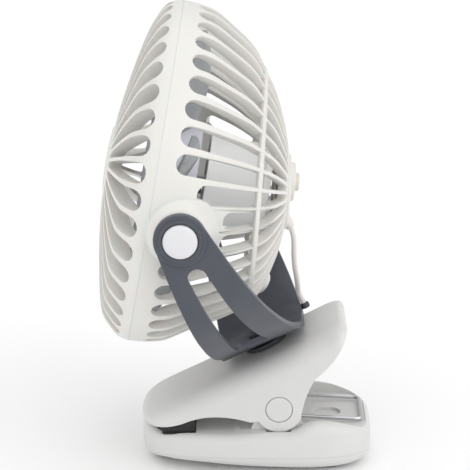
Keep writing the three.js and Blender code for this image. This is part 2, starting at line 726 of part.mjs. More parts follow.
function baseTop() {
  const outer = joined(
    solid(slab(basePlan(0), BASE.seam + GAP, BASE.top - 2.5)),
    solid(slab(basePlan(1), BASE.seam + 4, BASE.top - 1)),
    solid(slab(basePlan(2.6), BASE.seam + 4, BASE.top)),
    tailRim(),
  );
  const hollow = solid(slab(basePlan(WALL), 0, BASE.top - 3));
  const padSeat = solid(box(-22.9, 22.9, -42.8, -26.7, 16.5, 30));
  const notches = [21.2, -24.9].map((x) => solid(box(x, x + 3.7, 4, 15, 17.4, 19.5)));
  const hangSlot = solid(slab(ovalSlot(6.6, 5), TAIL.floor - 1.4, 30, 8).translate(0, 31, 0));
  const socket = solid(box(-4.9, 4.9, 40, 60, 9.3, 13.3));
  const lamp = solid(rod(1.4, 40, 60, 12).translate(9, 0, 11.3));
  const shell = cut(outer, hollow, tailRecess(), padSeat, hangSlot, socket, lamp, ...notches);
  const posts = screwRods(3.2, BASE.seam + GAP, 16.4);
  const whole = joined(shell, ear(17.4), ear(-21.2), ...posts);
  return geometryOf(cut(whole, hingeRod(2.2, -30, 30), ...screwRods(1.3, 4, 14)));
}

function ovalSlot(halfLength, radius) {
  const shape = new THREE.Shape();
  shape.absarc(0, halfLength - radius, radius, 0, Math.PI);
  shape.absarc(0, radius - halfLength, radius, Math.PI, 2 * Math.PI);
  return shape;
}

const SCREW_SPOTS = [[6, -31], [-6, -31], [16.6, 33], [-16.6, 33]];

// An upright rod at each of the base's four screws.
function screwRods(radius, from, to) {
  return SCREW_SPOTS.map(([x, y]) => solid(alongZ(rod(radius, from, to, 12)).translate(x, y, 0)));
}

function baseBottom() {
  const outer = joined(
    solid(slab(basePlan(7), BASE.under, 4)),
    solid(slab(basePlan(3.2), BASE.under + 1.6, 6)),
    solid(slab(basePlan(1.2), BASE.under + 3.2, BASE.seam - 1)),
    solid(slab(basePlan(0), BASE.under + 4.8, BASE.seam)),
  );
  const hollow = solid(slab(basePlan(9.4), BASE.under + WALL, 20));
  return geometryOf(cut(outer, hollow, ...screwRods(1.7, 0, 20), ...screwRods(3, 0, 3.4)));
}

// The anti-slip pad under the base, which also hides the screws.
function footOutline() {
  const shape = new THREE.Shape();
  const [half, front, rear, corner] = [21, -42, 42, 8];
  shape.absarc(half - corner, rear - corner, corner, 0, Math.PI / 2);
  shape.absarc(corner - half, rear - corner, corner, Math.PI / 2, Math.PI);
  shape.absarc(corner - half, front + corner, corner, Math.PI, Math.PI * 1.5);
  shape.absarc(half - corner, front + corner, corner, Math.PI * 1.5, Math.PI * 2);
  return shape;
}

function makeBase() {
  place("base_top", baseTop(), clipShell, fan);
  place("base_bottom", baseBottom(), clipShell, fan);
  place("base_pad", box(-22.6, 22.6, -42.5, -27, 16.8, 17.7), blackRubber, fan);
  place("underside_pad", slab(footOutline(), 0, BASE.under - GAP), blackRubber, fan);
  place("battery", box(-14, 14, -22, 20, 4.2, 12.2), cellWrap, fan);
  place("charge_board", box(-13, 13, 22, 35, 7.4, 8.8), boardGreen, fan);
  place("usb_socket", geometryOf(cut(
    solid(box(-4.5, 4.5, 41.4, 50, 9.7, 12.9)), solid(box(-4, 4, 42, 51, 10.2, 12.4)),
  )), steel, fan);
  place("charge_lamp", rod(1.1, 41, 50.2, 12).translate(9, 0, 11.3), clearLens, fan);
  SCREW_SPOTS.forEach(([x, y], i) => {
    const fixing = screw(1, 9.6, 2.6, 1.4).rotateX(-Math.PI / 2);
    place(`base_screw_${i + 1}`, fixing.translate(x, y, 3), steel, fan);
  });
}

// ---------- lead from the head to the yoke's foot, held at both ends ----------
const CABLE_ROUTE = [
  [0, 11.4, 110.2], [0, 12.6, 108.2], [0, 13.9, 106], [-0.1, 15, 103.6], [-0.5, 15.9, 100.4],
  [-1.2, 16.2, 96.6], [-2.4, 16.3, 91], [-4, 16.8, 85], [-6.4, 17.7, 79.4], [-9.4, 18.2, 75],
  [-11.6, 18.5, 72], [-12, 19.4, 69.2], [-12, 20.5, 67], [-12, 21.5, 65],
];

function powerCable() {
  const curve = new THREE.CatmullRomCurve3(CABLE_ROUTE.map(([x, y, z]) => point(x, y, z)));
  return wireAlong(curve.getSpacedPoints(16), CABLE_RADIUS, 8);
}

function headGland() {
  return atLeadOut(turned([[1.55, -1.8], [2.3, -1.8], [2.3, 2.2], [1.9, 4.4], [1.55, 4.4]], 16));
}

function atLeadOut(geometry) {
  return geometry.rotateX(-rad(LEAD_OUT.dip)).translate(0, LEAD_OUT.s, LEAD_OUT.z);
}

function makeLead() {
  place("power_cable", powerCable(), cableJacket, fan);
  place("head_gland", headGland(), whiteShell, rearHub);
}

makeHead();
makeYoke();
makeJaw();
place("clamp_spring", clampSpring(), chromedWire, fan);
makeBase();
makeLead();

export default fan;
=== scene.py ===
import functools
import math

import bmesh
import bpy
import numpy as np
from mathutils import Matrix, Vector


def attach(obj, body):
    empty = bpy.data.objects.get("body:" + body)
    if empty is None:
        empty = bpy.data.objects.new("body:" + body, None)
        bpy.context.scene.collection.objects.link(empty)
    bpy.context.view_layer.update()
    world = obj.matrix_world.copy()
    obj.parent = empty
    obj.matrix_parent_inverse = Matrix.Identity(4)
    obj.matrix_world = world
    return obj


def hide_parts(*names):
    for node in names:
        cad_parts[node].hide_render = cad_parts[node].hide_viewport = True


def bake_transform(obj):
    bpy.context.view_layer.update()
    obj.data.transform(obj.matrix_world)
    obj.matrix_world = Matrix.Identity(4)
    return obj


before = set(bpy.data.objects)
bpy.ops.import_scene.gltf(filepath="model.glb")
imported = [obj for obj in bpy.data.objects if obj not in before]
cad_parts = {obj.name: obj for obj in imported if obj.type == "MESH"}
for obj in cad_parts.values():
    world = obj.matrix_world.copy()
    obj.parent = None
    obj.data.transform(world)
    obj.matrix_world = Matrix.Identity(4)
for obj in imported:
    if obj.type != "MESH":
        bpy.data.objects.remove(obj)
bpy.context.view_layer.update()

# The looks of a small rechargeable clip fan. Sizes are millimetres until a piece is finished, and
# metres from then on.

# ---------- driving dimensions ----------
MM = 0.001
RIB_COUNT = 40
REAR_RIB_SHIFT = math.radians(4)  # the rear ribs sit a little lower than the front ones
PIVOT_BEHIND = 11.14  # tilt axis behind the head's parting plane
PIVOT_BELOW = 4.7  # and below the head's own axis
CLIP_SLOPE = math.radians(26.5)
SWIVEL = Vector((0, 4.6, 51.4))  # where the swivel axis meets the clip's back
YOKE_HEIGHT = 80.4  # from there to the tilt axis
AXLE = Vector((0, 9.6, 28.8))  # hinge of the clip
BASE_HALF = 29
BASE_LONG = 50.5  # half the base's length
ACROSS = 40  # half width of what is cut right across the clip

# The head's own axis is local Y, from the parting plane backwards. The swivel axis is local Z.
HEAD = (
    Matrix.Translation((0, -31.3, 123.35))
    @ Matrix.Rotation(math.radians(-9.7), 4, "X")
    @ Matrix.Translation((0, -PIVOT_BEHIND, PIVOT_BELOW))
)
CLIP_BACK = Matrix.Translation(SWIVEL) @ Matrix.Rotation(CLIP_SLOPE, 4, "X")
WORLD = Matrix.Identity(4)
QUARTER = np.radians(range(0, 91, 10))  # angles of a rounded edge
HINGE = Matrix.Translation(AXLE) @ Matrix.Rotation(-math.pi / 2, 4, "Z")  # local Y runs along +X
HALF_TURN = Matrix.Rotation(math.pi, 4, "Z")
REAR_LEAN = 0.1  # slope of the rear hub against the band: its foot stands further back
FRONT_LEAN = 0.018  # and of the front face, whose foot stands a little further forward
REAR_HUB = (
    HEAD @ Matrix.Translation((0, 54, 0)) @ Matrix.Rotation(math.atan(REAR_LEAN), 4, "X")
    @ Matrix.Translation((0, -54, 0))
)
LEAD_OUT = (
    REAR_HUB @ Matrix.Translation((0, 55.6, -12.4)) @ Matrix.Rotation(math.radians(-55.7), 4, "X")
)
TO_UPRIGHT = Matrix.Rotation(math.pi / 2, 4, "X")  # turns a piece made along Y to stand along Z


# ---------- camera, light and floor ----------
CAMERA_RISE = math.radians(17)  # above level
CAMERA_AIM = Vector((0, -9.6, 101))
CAMERA_AWAY = 895
CAMERA_LENS = 157.3
FLOOR_RADIUS = 9  # metres


def make_camera():
    """Looks at the clip fan's right side from a little above, through a long lens."""
    back = Vector((math.cos(CAMERA_RISE), 0, math.sin(CAMERA_RISE)))
    up = Vector((-math.sin(CAMERA_RISE), 0, math.cos(CAMERA_RISE)))
    data = bpy.data.cameras.new("studio_camera")
    data.lens = CAMERA_LENS
    data.sensor_width = 36
    data.clip_end = 50
    camera = bpy.data.objects.new("studio_camera", data)
    turn = Matrix((Vector((0, 1, 0)), up, back)).transposed().to_4x4()
    camera.matrix_world = Matrix.Translation((CAMERA_AIM + back * CAMERA_AWAY) * MM) @ turn
    bpy.context.scene.collection.objects.link(camera)
    bpy.context.scene.camera = camera


def soft_sun(name, power, spread, turn):
    """An even light from one side of the sky, angles in degrees."""
    data = bpy.data.lights.new(name, "SUN")
    data.energy = power
    data.angle = math.radians(spread)
    light = bpy.data.objects.new(name, data)
    light.rotation_euler = [math.radians(angle) for angle in turn]
    bpy.context.scene.collection.objects.link(light)


def make_studio():
    """A pale sweep under a white sky and three wide, soft suns."""
    scene = bpy.context.scene
    scene.view_settings.view_transform = "Standard"
    world = bpy.data.worlds.new("studio")
    world.use_nodes = True
    sky = world.node_tree.nodes["Background"]
    sky.inputs["Color"].default_value = (1, 1, 1, 1)
    sky.inputs["Strength"].default_value = 0.7
    scene.world = world
    soft_sun("ceiling", 0.8, 90, (0, 0, 0))
    soft_sun("key", 0.8, 60, (0, 62, 48))  # from the camera's side, a little from behind the fan
    soft_sun("fill", 0.4, 70, (0, 72, -50))  # low, from the fan's front
    bm = bmesh.new()
    bmesh.ops.create_circle(bm, cap_ends=True, segments=96, radius=FLOOR_RADIUS)
    mesh = bpy.data.meshes.new("floor")
    bm.to_mesh(mesh)
    bm.free()
    floor = bpy.data.objects.new("floor", mesh)
    scene.collection.objects.link(floor)
    mesh.materials.append(painted_sweep())


# ---------- materials ----------
def hex_colour(code):
    """An sRGB hex value as the linear colour that Blender works in."""
    levels = [int(code[i:i + 2], 16) / 255 for i in (1, 3, 5)]
    linear = [c / 12.92 if c <= 0.04045 else ((c + 0.055) / 1.055) ** 2.4 for c in levels]
    return (*linear, 1)


def add_node(tree, kind, inputs=None, **settings):
    """Adds a node. Its inputs are values, or the sockets that feed them."""
    node = tree.nodes.new(kind)
    for name, value in settings.items():
        setattr(node, name, value)
    for name, value in (inputs or {}).items():
        if isinstance(value, bpy.types.NodeSocket):
            tree.links.new(value, node.inputs[name])
        else:
            node.inputs[name].default_value = value
    return node


def blank_material(name):
    """A material with only a Principled shader, and where the surface is as a socket."""
    material = bpy.data.materials.new(name)
    material.use_nodes = True
    tree = material.node_tree
    shader = tree.nodes["Principled BSDF"]
    place = add_node(tree, "ShaderNodeTexCoord").outputs["Object"]
    return material, tree, shader, place


def moulded(name, light, dark, roughness, grain, relief, ior=1.53, drift=28, **extra):
    """Injection-moulded plastic: a colour that drifts slightly from place to place, and the fine
    spark-eroded grain of the mould. Drift and grain are sizes in millimetres."""
    material, tree, shader, place = blank_material(name)
    slow = add_node(tree, "ShaderNodeTexNoise",
                    {"Vector": place, "Scale": 1 / (drift * MM), "Detail": 2.0})
    tone = add_node(tree, "ShaderNodeMix",
                    {"Factor": slow.outputs["Fac"], 6: hex_colour(light), 7: hex_colour(dark)},
                    data_type="RGBA")
    fine = add_node(tree, "ShaderNodeTexNoise",
                    {"Vector": place, "Scale": 1 / (grain * MM), "Detail": 3.0})
    gloss = add_node(tree, "ShaderNodeMapRange",
                     {"Value": slow.outputs["Fac"], "To Min": roughness - 0.04,
                      "To Max": roughness + 0.05})
    bump = add_node(tree, "ShaderNodeBump",
                    {"Height": fine.outputs["Fac"], "Strength": relief, "Distance": 0.00006})
    tree.links.new(tone.outputs[2], shader.inputs["Base Color"])
    tree.links.new(gloss.outputs["Result"], shader.inputs["Roughness"])
    tree.links.new(bump.outputs["Normal"], shader.inputs["Normal"])
    shader.inputs["IOR"].default_value = ior
    for socket, value in extra.items():
        shader.inputs[socket.replace("_", " ")].default_value = value
    return material


@functools.cache
def white_cage_abs():
    """Satin white ABS of the cage: faintly warm, light goes a little way in at the thin ribs."""
    return moulded("white_cage_abs", "#E2E1DD", "#DDDCD7", 0.36, 0.5, 0.12,
                   Subsurface_Weight=0.12, Subsurface_Scale=0.002)


def painted_bright_motor_abs():
    """The motor's housing inside the cage: a colder white, painted brighter than the cage's white
    as painted light, standing in for the light that reaches in through the slots.
    """
    return moulded("painted_bright_motor_abs", "#F7F7F6", "#F1F1F0", 0.42, 0.5, 0.12)


@functools.cache
def gloss_cap_abs():
    """The pivot caps come from a polished mould, cooler and shinier than the cage."""
    return moulded("gloss_cap_abs", "#DEDEE1", "#D9D9DD", 0.2, 0.9, 0.05)


@functools.cache
def clip_abs():
    """The clip's ABS has a fine matt grain that spreads the light, and is greyer than the cage."""
    return moulded("clip_abs", "#DADAD8", "#D4D4D2", 0.46, 0.45, 0.22,
                   Subsurface_Weight=0.08, Subsurface_Scale=0.002)


@functools.cache
def slate_yoke_nylon():
    """Slate-coloured nylon with glass fibre: satin, with a faint cloudiness in the colour."""
    return moulded("slate_yoke_nylon", "#494D57", "#41454D", 0.4, 0.4, 0.2, drift=14)


@functools.cache
def black_swivel_nylon():
    """Near-black nylon of the swivel's disc and cover, satin."""
    return moulded("black_swivel_nylon", "#2B2C32", "#222328", 0.42, 0.4, 0.2, drift=9)


def ivory_button_abs():
    """The button is a shade creamier than the shell, from its own mould."""
    return moulded("ivory_button_abs", "#DED8CC", "#D6D0C4", 0.38, 0.4, 0.12, drift=6)


def smoked_blade_polycarbonate():
    """Clear grey polycarbonate of the blades: lets some light through and shines at its edges."""
    return moulded("smoked_blade_polycarbonate", "#C9CDD1", "#BCC0C6", 0.22, 0.8, 0.06, ior=1.58,
                   Transmission_Weight=0.55)


def lilac_hub_abs():
    """The blades' cup is an opaque white ABS with a violet cast."""
    return moulded("lilac_hub_abs", "#DCDCE6", "#D2D2DC", 0.34, 0.5, 0.1, drift=12)


@functools.cache
def black_pad_rubber():
    """Moulded rubber: dull black, with a coarse fine-blasted skin and a trace of dust in it."""
    material, tree, shader, place = blank_material("black_pad_rubber")
    skin = add_node(tree, "ShaderNodeTexNoise",
                    {"Vector": place, "Scale": 1 / (0.35 * MM), "Detail": 4.0})
    dust = add_node(tree, "ShaderNodeTexNoise",
                    {"Vector": place, "Scale": 1 / (5 * MM), "Detail": 5.0})
    tone = add_node(tree, "ShaderNodeValToRGB", {"Fac": dust.outputs["Fac"]})
    tone.color_ramp.elements[0].position = 0.4
    tone.color_ramp.elements[0].color = hex_colour("#1B1C1D")
    tone.color_ramp.elements[1].position = 0.72
    tone.color_ramp.elements[1].color = hex_colour("#2A2B26")
    bump = add_node(tree, "ShaderNodeBump",
                    {"Height": skin.outputs["Fac"], "Strength": 0.5, "Distance": 0.00012})
    tree.links.new(tone.outputs["Color"], shader.inputs["Base Color"])
    tree.links.new(bump.outputs["Normal"], shader.inputs["Normal"])
    shader.inputs["Roughness"].default_value = 0.72
    shader.inputs["IOR"].default_value = 1.52
    return material


def metal(name, colour, roughness, streak, along):
    """A drawn or plated metal, with the fine lines that drawing left along one axis."""
    material, tree, shader, place = blank_material(name)
    stretch = [1 / (streak * MM)] * 3
    stretch["XYZ".index(along)] = 1 / (40 * streak * MM)
    lines = add_node(tree, "ShaderNodeMapping", {"Vector": place, "Scale": stretch})
    grain = add_node(tree, "ShaderNodeTexNoise",
                     {"Vector": lines.outputs["Vector"], "Scale": 1.0, "Detail": 3.0})
    gloss = add_node(tree, "ShaderNodeMapRange",
                     {"Value": grain.outputs["Fac"], "To Min": roughness - 0.05,
                      "To Max": roughness + 0.1})
    bump = add_node(tree, "ShaderNodeBump",
                    {"Height": grain.outputs["Fac"], "Strength": 0.12, "Distance": 0.00003})
    tree.links.new(gloss.outputs["Result"], shader.inputs["Roughness"])
    tree.links.new(bump.outputs["Normal"], shader.inputs["Normal"])
    shader.inputs["Base Color"].default_value = hex_colour(colour)
    shader.inputs["Metallic"].default_value = 1.0
    return material


def nickel_spring_wire():
    """Nickel-plated spring wire: bright, with faint lines from the drawing die."""
    return metal("nickel_spring_wire", "#C9CACC", 0.18, 0.12, "Y")


def zinc_screw_steel():
    """Zinc-plated steel: grey with a slight blue cast, satin."""
    return metal("zinc_screw_steel", "#B7BABF", 0.34, 0.2, "Z")


def drawn_motor_steel():
    """The motor's can is drawn steel with lines along its length."""
    return metal("drawn_motor_steel", "#A9ABAE", 0.3, 0.25, "Y")


def tinned_socket_steel():
    """Tinned sheet steel of the charging socket, bright and smooth."""
    return metal("tinned_socket_steel", "#C4C5C7", 0.24, 0.3, "X")


def white_lead_pvc():
    """Soft PVC jacket of the lead: satin, faintly pink-white, with slow thick and thin places."""
    return moulded("white_lead_pvc", "#EBE7E5", "#E1DCDA", 0.48, 1.4, 0.3, drift=7,
                   Subsurface_Weight=0.1, Subsurface_Scale=0.001)


def solder_mask(name, coat, thin_coat, over_copper):
    """A fibreglass board's coat: the copper tracks show through as lighter bands."""
    material, tree, shader, place = blank_material(name)
    tracks = add_node(tree, "ShaderNodeTexBrick",
                      {"Vector": place, "Scale": 1 / (4 * MM), "Mortar Size": 0.06,
                       "Color1": hex_colour(coat), "Color2": hex_colour(thin_coat),
                       "Mortar": hex_colour(over_copper)})
    tree.links.new(tracks.outputs["Color"], shader.inputs["Base Color"])
    shader.inputs["Roughness"].default_value = 0.32
    shader.inputs["IOR"].default_value = 1.55
    return material


def blue_cell_wrap():
    """PVC shrink film round the battery cell: shiny, with the small pulls that shrinking leaves."""
    return moulded("blue_cell_wrap", "#4173AB", "#37669C", 0.28, 2.2, 0.5, drift=12)


def frosted_lamp_lens():
    """Light pipe of the charge lamp: frosted clear acrylic."""
    return moulded("frosted_lamp_lens", "#EEF3EE", "#E6ECE6", 0.3, 0.4, 0.2, ior=1.49,
                   Transmission_Weight=0.7)


def painted_sweep():
    """Matt white paint of the studio sweep, with a hardly visible roller texture."""
    return moulded("painted_sweep", "#FAFAFA", "#F8F8F8", 0.9, 3.0, 0.05, ior=1.45, drift=400)


# ---------- tools for making pieces ----------
def finish_piece(name, bm, place, material, body, node, sharp=40):
    """Puts a mesh in its place, in metres, and says which CAD node it replaces and what body it
    rides on. A blended piece has no body."""
    bmesh.ops.transform(bm, matrix=Matrix.Scale(MM, 4) @ place, verts=bm.verts)
    mesh = bpy.data.meshes.new(name)
    bm.to_mesh(mesh)
    bm.free()
    mesh.shade_smooth()
    mesh.set_sharp_from_angle(angle=math.radians(sharp))
    for coat in material if isinstance(material, list) else [material]:
        mesh.materials.append(coat)
    piece = bpy.data.objects.new(name, mesh)
    bpy.context.scene.collection.objects.link(piece)
    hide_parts(node)
    if body:
        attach(piece, body)
    return piece


def outward(bm):
    """Faces every face outwards."""
    bmesh.ops.recalc_face_normals(bm, faces=bm.faces)
    if bm.calc_volume(signed=True) < 0:
        bmesh.ops.reverse_faces(bm, faces=bm.faces)
    return bm


def joined(bm, *others):
    """Adds the other meshes to the first."""
    for other in others:
        mesh = bpy.data.meshes.new("part")
        other.to_mesh(mesh)
        other.free()
        bm.from_mesh(mesh)
        bpy.data.meshes.remove(mesh)
    return bm


def moved(bm, matrix):
    """Moves the mesh, and keeps its faces outwards when the move mirrors it."""
    bmesh.ops.transform(bm, matrix=matrix, verts=bm.verts)
    if matrix.determinant() < 0:
        bmesh.ops.reverse_faces(bm, faces=bm.faces)
    return bm


def turned(profile, steps=64):
    """A closed profile of (radius, height) turned about the Y axis."""
    bm = bmesh.new()
    line = [bm.verts.new((radius, height, 0)) for radius, height in profile]
    if profile[0][0] > 0 or profile[-1][0] > 0:
        line.append(line[0])
    edges = [bm.edges.new(pair) for pair in zip(line, line[1:])]
    bmesh.ops.spin(bm, geom=[*dict.fromkeys(line), *edges], cent=(0, 0, 0), axis=(0, 1, 0),
                   angle=2 * math.pi, steps=steps, use_merge=True)
    bmesh.ops.remove_doubles(bm, verts=bm.verts, dist=1e-4)
    return outward(bm)


def rounded(bm, width, segments=3, least=30, stays_sharp=lambda edge: False):
    """Rounds every edge that is sharper than the least angle, in degrees."""
    edges = [
        e for e in bm.edges
        if e.is_manifold and e.calc_face_angle(0) > math.radians(least) and not stays_sharp(e)
    ]
    bmesh.ops.bevel(bm, geom=edges, offset=width, offset_type="OFFSET", segments=segments,
                    profile=0.5, affect="EDGES", clamp_overlap=True, material=-1)
    bmesh.ops.remove_doubles(bm, verts=bm.verts, dist=0.015)
    return bm


def closed_loop(bm, points):
    """New edges round a loop of points."""
    verts = [bm.verts.new(p) for p in points]
    return [bm.edges.new(pair) for pair in zip(verts, verts[1:] + verts[:1])]


def thickened(bm, depth=1):
    """A flat mesh raised from w 0 to its depth."""
    raised = bmesh.ops.extrude_face_region(bm, geom=bm.faces[:])
    top = [v for v in raised["geom"] if isinstance(v, bmesh.types.BMVert)]
    bmesh.ops.translate(bm, verts=top, vec=(0, 0, depth))
    return bm


def cut_across(bm, axis, places):
    """Adds edges where planes square to an axis cross the mesh, so that it can bend there."""
    normal = [float(i == axis) for i in range(3)]
    for place in places:
        bmesh.ops.bisect_plane(bm, geom=[*bm.verts, *bm.edges, *bm.faces], dist=1e-4,
                               plane_co=[place * part for part in normal], plane_no=normal)


def plate(outline, depth, holes=()):
    """A flat outline of (u, v) with holes, filled and thickened."""
    bm = bmesh.new()
    for loop in (outline, *holes):
        closed_loop(bm, [(u, v, 0) for u, v in loop])
    bmesh.ops.triangle_fill(bm, use_beauty=True, edges=bm.edges[:], normal=(0, 0, 1))
    return outward(thickened(bm, depth))


def lofted(rings):
    """A closed skin over rings of equally many points."""
    bm = bmesh.new()
    loops = [closed_loop(bm, ring) for ring in rings]
    for lower, upper in zip(loops, loops[1:]):
        bmesh.ops.bridge_loops(bm, edges=lower + upper)
    for end in (loops[0], loops[-1]):
        bmesh.ops.edgeloop_fill(bm, edges=end)
    return outward(bm)


def bent(bm, place):
    """Moves every vertex to where the given rule says."""
    for vert in bm.verts:
        vert.co = place(*vert.co)
    return outward(bm)


def loose_object(bm):
    """A scene object for a modifier to work on."""
    mesh = bpy.data.meshes.new("loose")
    bm.to_mesh(mesh)
    bm.free()
    item = bpy.data.objects.new("loose", mesh)
    bpy.context.scene.collection.objects.link(item)
    return item


def evaluated_bmesh(item):
    """What an object's modifiers or curve settings make of it."""
    seen = item.evaluated_get(bpy.context.evaluated_depsgraph_get())
    mesh = bpy.data.meshes.new_from_object(seen)
    bm = bmesh.new()
    bm.from_mesh(mesh)
    bpy.data.meshes.remove(mesh)
    return bm


def carved(bm, *cutters):
    """The first mesh with the others taken away from it, one after the other."""
    for cutter in cutters:
        body, tool = loose_object(bm), loose_object(cutter)
        change = body.modifiers.new("carve", "BOOLEAN")
        change.operation = "DIFFERENCE"
        change.solver = "EXACT"
        change.object = tool
        bm = evaluated_bmesh(body)
        for item in (body, tool):
            spare = item.data
            bpy.data.objects.remove(item)
            bpy.data.meshes.remove(spare)
        bmesh.ops.remove_doubles(bm, verts=bm.verts, dist=0.002)
        bmesh.ops.dissolve_degenerate(bm, dist=0.002, edges=bm.edges)
    return bm


def smooth_line(points, steps=12):
    """Points on a smooth curve through the given ones."""
    p = np.array(points, float)
    p = np.vstack([2 * p[0] - p[1], p, 2 * p[-1] - p[-2]])
    line = []
    for a, b, c, d in zip(p, p[1:], p[2:], p[3:]):
        for f in np.arange(steps) / steps:
            line.append(0.5 * (2 * b + (c - a) * f + (2 * a - 5 * b + 4 * c - d) * f ** 2
                               + (3 * b - a - 3 * c + d) * f ** 3))
    line.append(p[-2])
    return np.array(line)


def run_length(line):
    """Distance along a line of points, at each of them."""
    return np.concatenate([[0], np.cumsum(np.linalg.norm(np.diff(line, axis=0), axis=1))])


def arc(centre, radius, start, end, steps):
    """Points of an arc in a plane, angles in degrees."""
    angles = np.radians(np.linspace(start, end, steps + 1))
    return [(centre[0] + radius * math.cos(a), centre[1] + radius * math.sin(a)) for a in angles]


def bezier(points, steps):
    """Points of a quadratic or cubic curve with those control points, without its last."""
    n = len(points) - 1
    line = []
    for f in np.arange(steps) / steps:
        weights = [math.comb(n, k) * f ** k * (1 - f) ** (n - k) for k in range(n + 1)]
        line.append(tuple(sum(w * p[i] for w, p in zip(weights, points)) for i in (0, 1)))
    return line


def wire(name, points, radius, material, node, roundness=3):
    """A round wire or lead along points, as a mesh that rides on no body."""
    data = bpy.data.curves.new(name, "CURVE")
    data.dimensions = "3D"
    data.bevel_depth = radius * MM
    data.bevel_resolution = roundness
    data.use_fill_caps = True
    spline = data.splines.new("POLY")
    spline.points.add(len(points) - 1)
    for spot, p in zip(spline.points, points):
        spot.co = (p[0] * MM, p[1] * MM, p[2] * MM, 1)
    tube = bpy.data.objects.new(name + "_line", data)
    bpy.context.scene.collection.objects.link(tube)
    bm = evaluated_bmesh(tube)
    bpy.data.objects.remove(tube)
    bpy.data.curves.remove(data)
    bmesh.ops.remove_doubles(bm, verts=bm.verts, dist=1e-6)
    return finish_piece(name, bm, Matrix.Scale(1 / MM, 4), material, None, node, 50)


# ---------- the cage ----------
# Stations of the cage's section: outer radius, outer depth, inner radius, inner depth.
FRONT_SECTION = [
    (74.2, -2.34, 71.6, -2.34), (73.7, -4.9, 71.4, -3.2), (72.4, -7.6, 70.6, -3.9),
    (70, -10.3, 68.4, -4.8), (64.5, -14, 63.6, -6.8), (57.6, -16.3, 57.4, -8.9),
    (47, -18.6, 47, -11.7), (37, -20.4, 37, -14.2), (27, -21.9, 27, -16.2), (16, -23.2, 16, -17.8),
]
REAR_SECTION = [
    (74.2, -2.28, 71.6, -2.28), (73.9, 3, 71.6, 3), (73.1, 8.2, 70.7, 7.2),
    (71.4, 13.6, 67.9, 12), (65.7, 22.8, 62.2, 21), (57.2, 35.6, 54.4, 32.2),
    (45, 46, 43, 42.2), (30, 51.9, 29, 48), (22, 53.9, 21.4, 50), (16.6, 54.9, 16.6, 51),
]
RIB_WIDTHS = ([21, 52, 68, 73], [1.4, 1.5, 2.2, 2.9])  # at these radii
CAGE_PITCH = 2 * math.pi / RIB_COUNT
PARTING_FACES = (-2.4, -2.2)  # both halves end between these depths
SLOT_ROWS = 22  # places along each side of a slot
SLOT_END = 7  # places round each end
SLOTS_OUT = (-6.4, 4.7)  # depth of the slots' outer ends: front half, rear half
SLOTS_IN = 20.6  # radius of their inner ends
BOSS_FLAT = 10  # radius of the pivot boss's flat top
BOSS_TOP = 77.5  # and how far that is from the head's axis
BOSS_SUNK = 2.2  # how far the boss reaches into the cage's wall
BOSS_CLEAR = 1.4  # solid wall between the boss and a slot
BOSS_FADE = 0.06  # how far below the cage's surface the swelling runs out


def fading(distance, whole):
    """Rises smoothly from 0 to 1 over the whole distance."""
    f = min(max(distance / whole, 0), 1)
    return f * f * (3 - 2 * f)


def leaned(x, s, z):
    """A place on the cage, whose faces lean against its band, less and less towards the rim."""
    radius = math.hypot(x, z)
    slope = -REAR_LEAN * fading(66 - radius, 19) if s > 0 else FRONT_LEAN * fading(72 - radius, 8)
    return Vector((x, s + z * slope, z))


def boss_reach(angle):
    """How far the swelling round the tilt pivot spreads, least forwards and most rearwards."""
    return 15 + 0.6 * math.cos(angle)


class CageSection:
    """The section of one half of the cage, by distance along its outer line."""

    def __init__(self, stations):
        self.line = smooth_line(stations)
        self.along = run_length(self.line[:, :2])

    def at(self, t):
        """The four columns of the section at that distance."""
        return [np.interp(t, self.along, column) for column in self.line.T]

    def where(self, column, value):
        """The distance at which a column of the section reaches a value."""
        sign = 1 if self.line[-1, column] > self.line[0, column] else -1
        return float(np.interp(sign * value, sign * self.line[:, column], self.along))

    def surface(self, angle, t, depth):
        """A place on the outer face at depth 0, or on the inner face at depth 1."""
        r0, s0, r1, s1 = self.at(t)
        radius, s = r0 + (r1 - r0) * depth, s0 + (s1 - s0) * depth
        return leaned(radius * math.cos(angle), s, radius * math.sin(angle))


def slot_half_angle(section, t):
    """Half the angle that a slot spans at that place, between ribs that taper to the hub."""
    radius = section.at(t)[0]
    rib = np.interp(radius, *RIB_WIDTHS)
    return CAGE_PITCH / 2 - rib / 2 / radius


def slot_loop(section, start, end):
    """The outline of a slot with round ends, as (angle, distance along)."""
    radius = [section.at(t)[0] for t in (start, end)]
    ends = [slot_half_angle(section, t) * r for t, r in zip((start, end), radius)]
    first, last = start + ends[0], end - ends[1]
    sides = [(slot_half_angle(section, t), t) for t in np.linspace(first, last, SLOT_ROWS)]
    turn = [math.pi * (j + 1) / (SLOT_END + 1) for j in range(SLOT_END)]
    far = [(sides[-1][0] * math.cos(a), last + ends[1] * math.sin(a)) for a in turn]
    near = [(sides[0][0] * math.cos(a), first - ends[0] * math.sin(a)) for a in turn]
    mirror = [(-angle, t) for angle, t in sides]
    return [*sides, *far, *mirror[::-1], *near[::-1]]


def cell_loop(section, start, end):
    """The cell round a slot, with as many places as the slot's outline."""
    half = CAGE_PITCH / 2
    total = section.along[-1]
    sides = [(half, t) for t in np.linspace(start + 4, end - 1, SLOT_ROWS)]
    across = np.linspace(half, -half, SLOT_END)
    far = [(angle, total) for angle in across]
    near = [(angle, 0.0) for angle in across]
    mirror = [(-half, t) for _, t in sides]
    return [*sides, *far, *mirror[::-1], *near[::-1]]


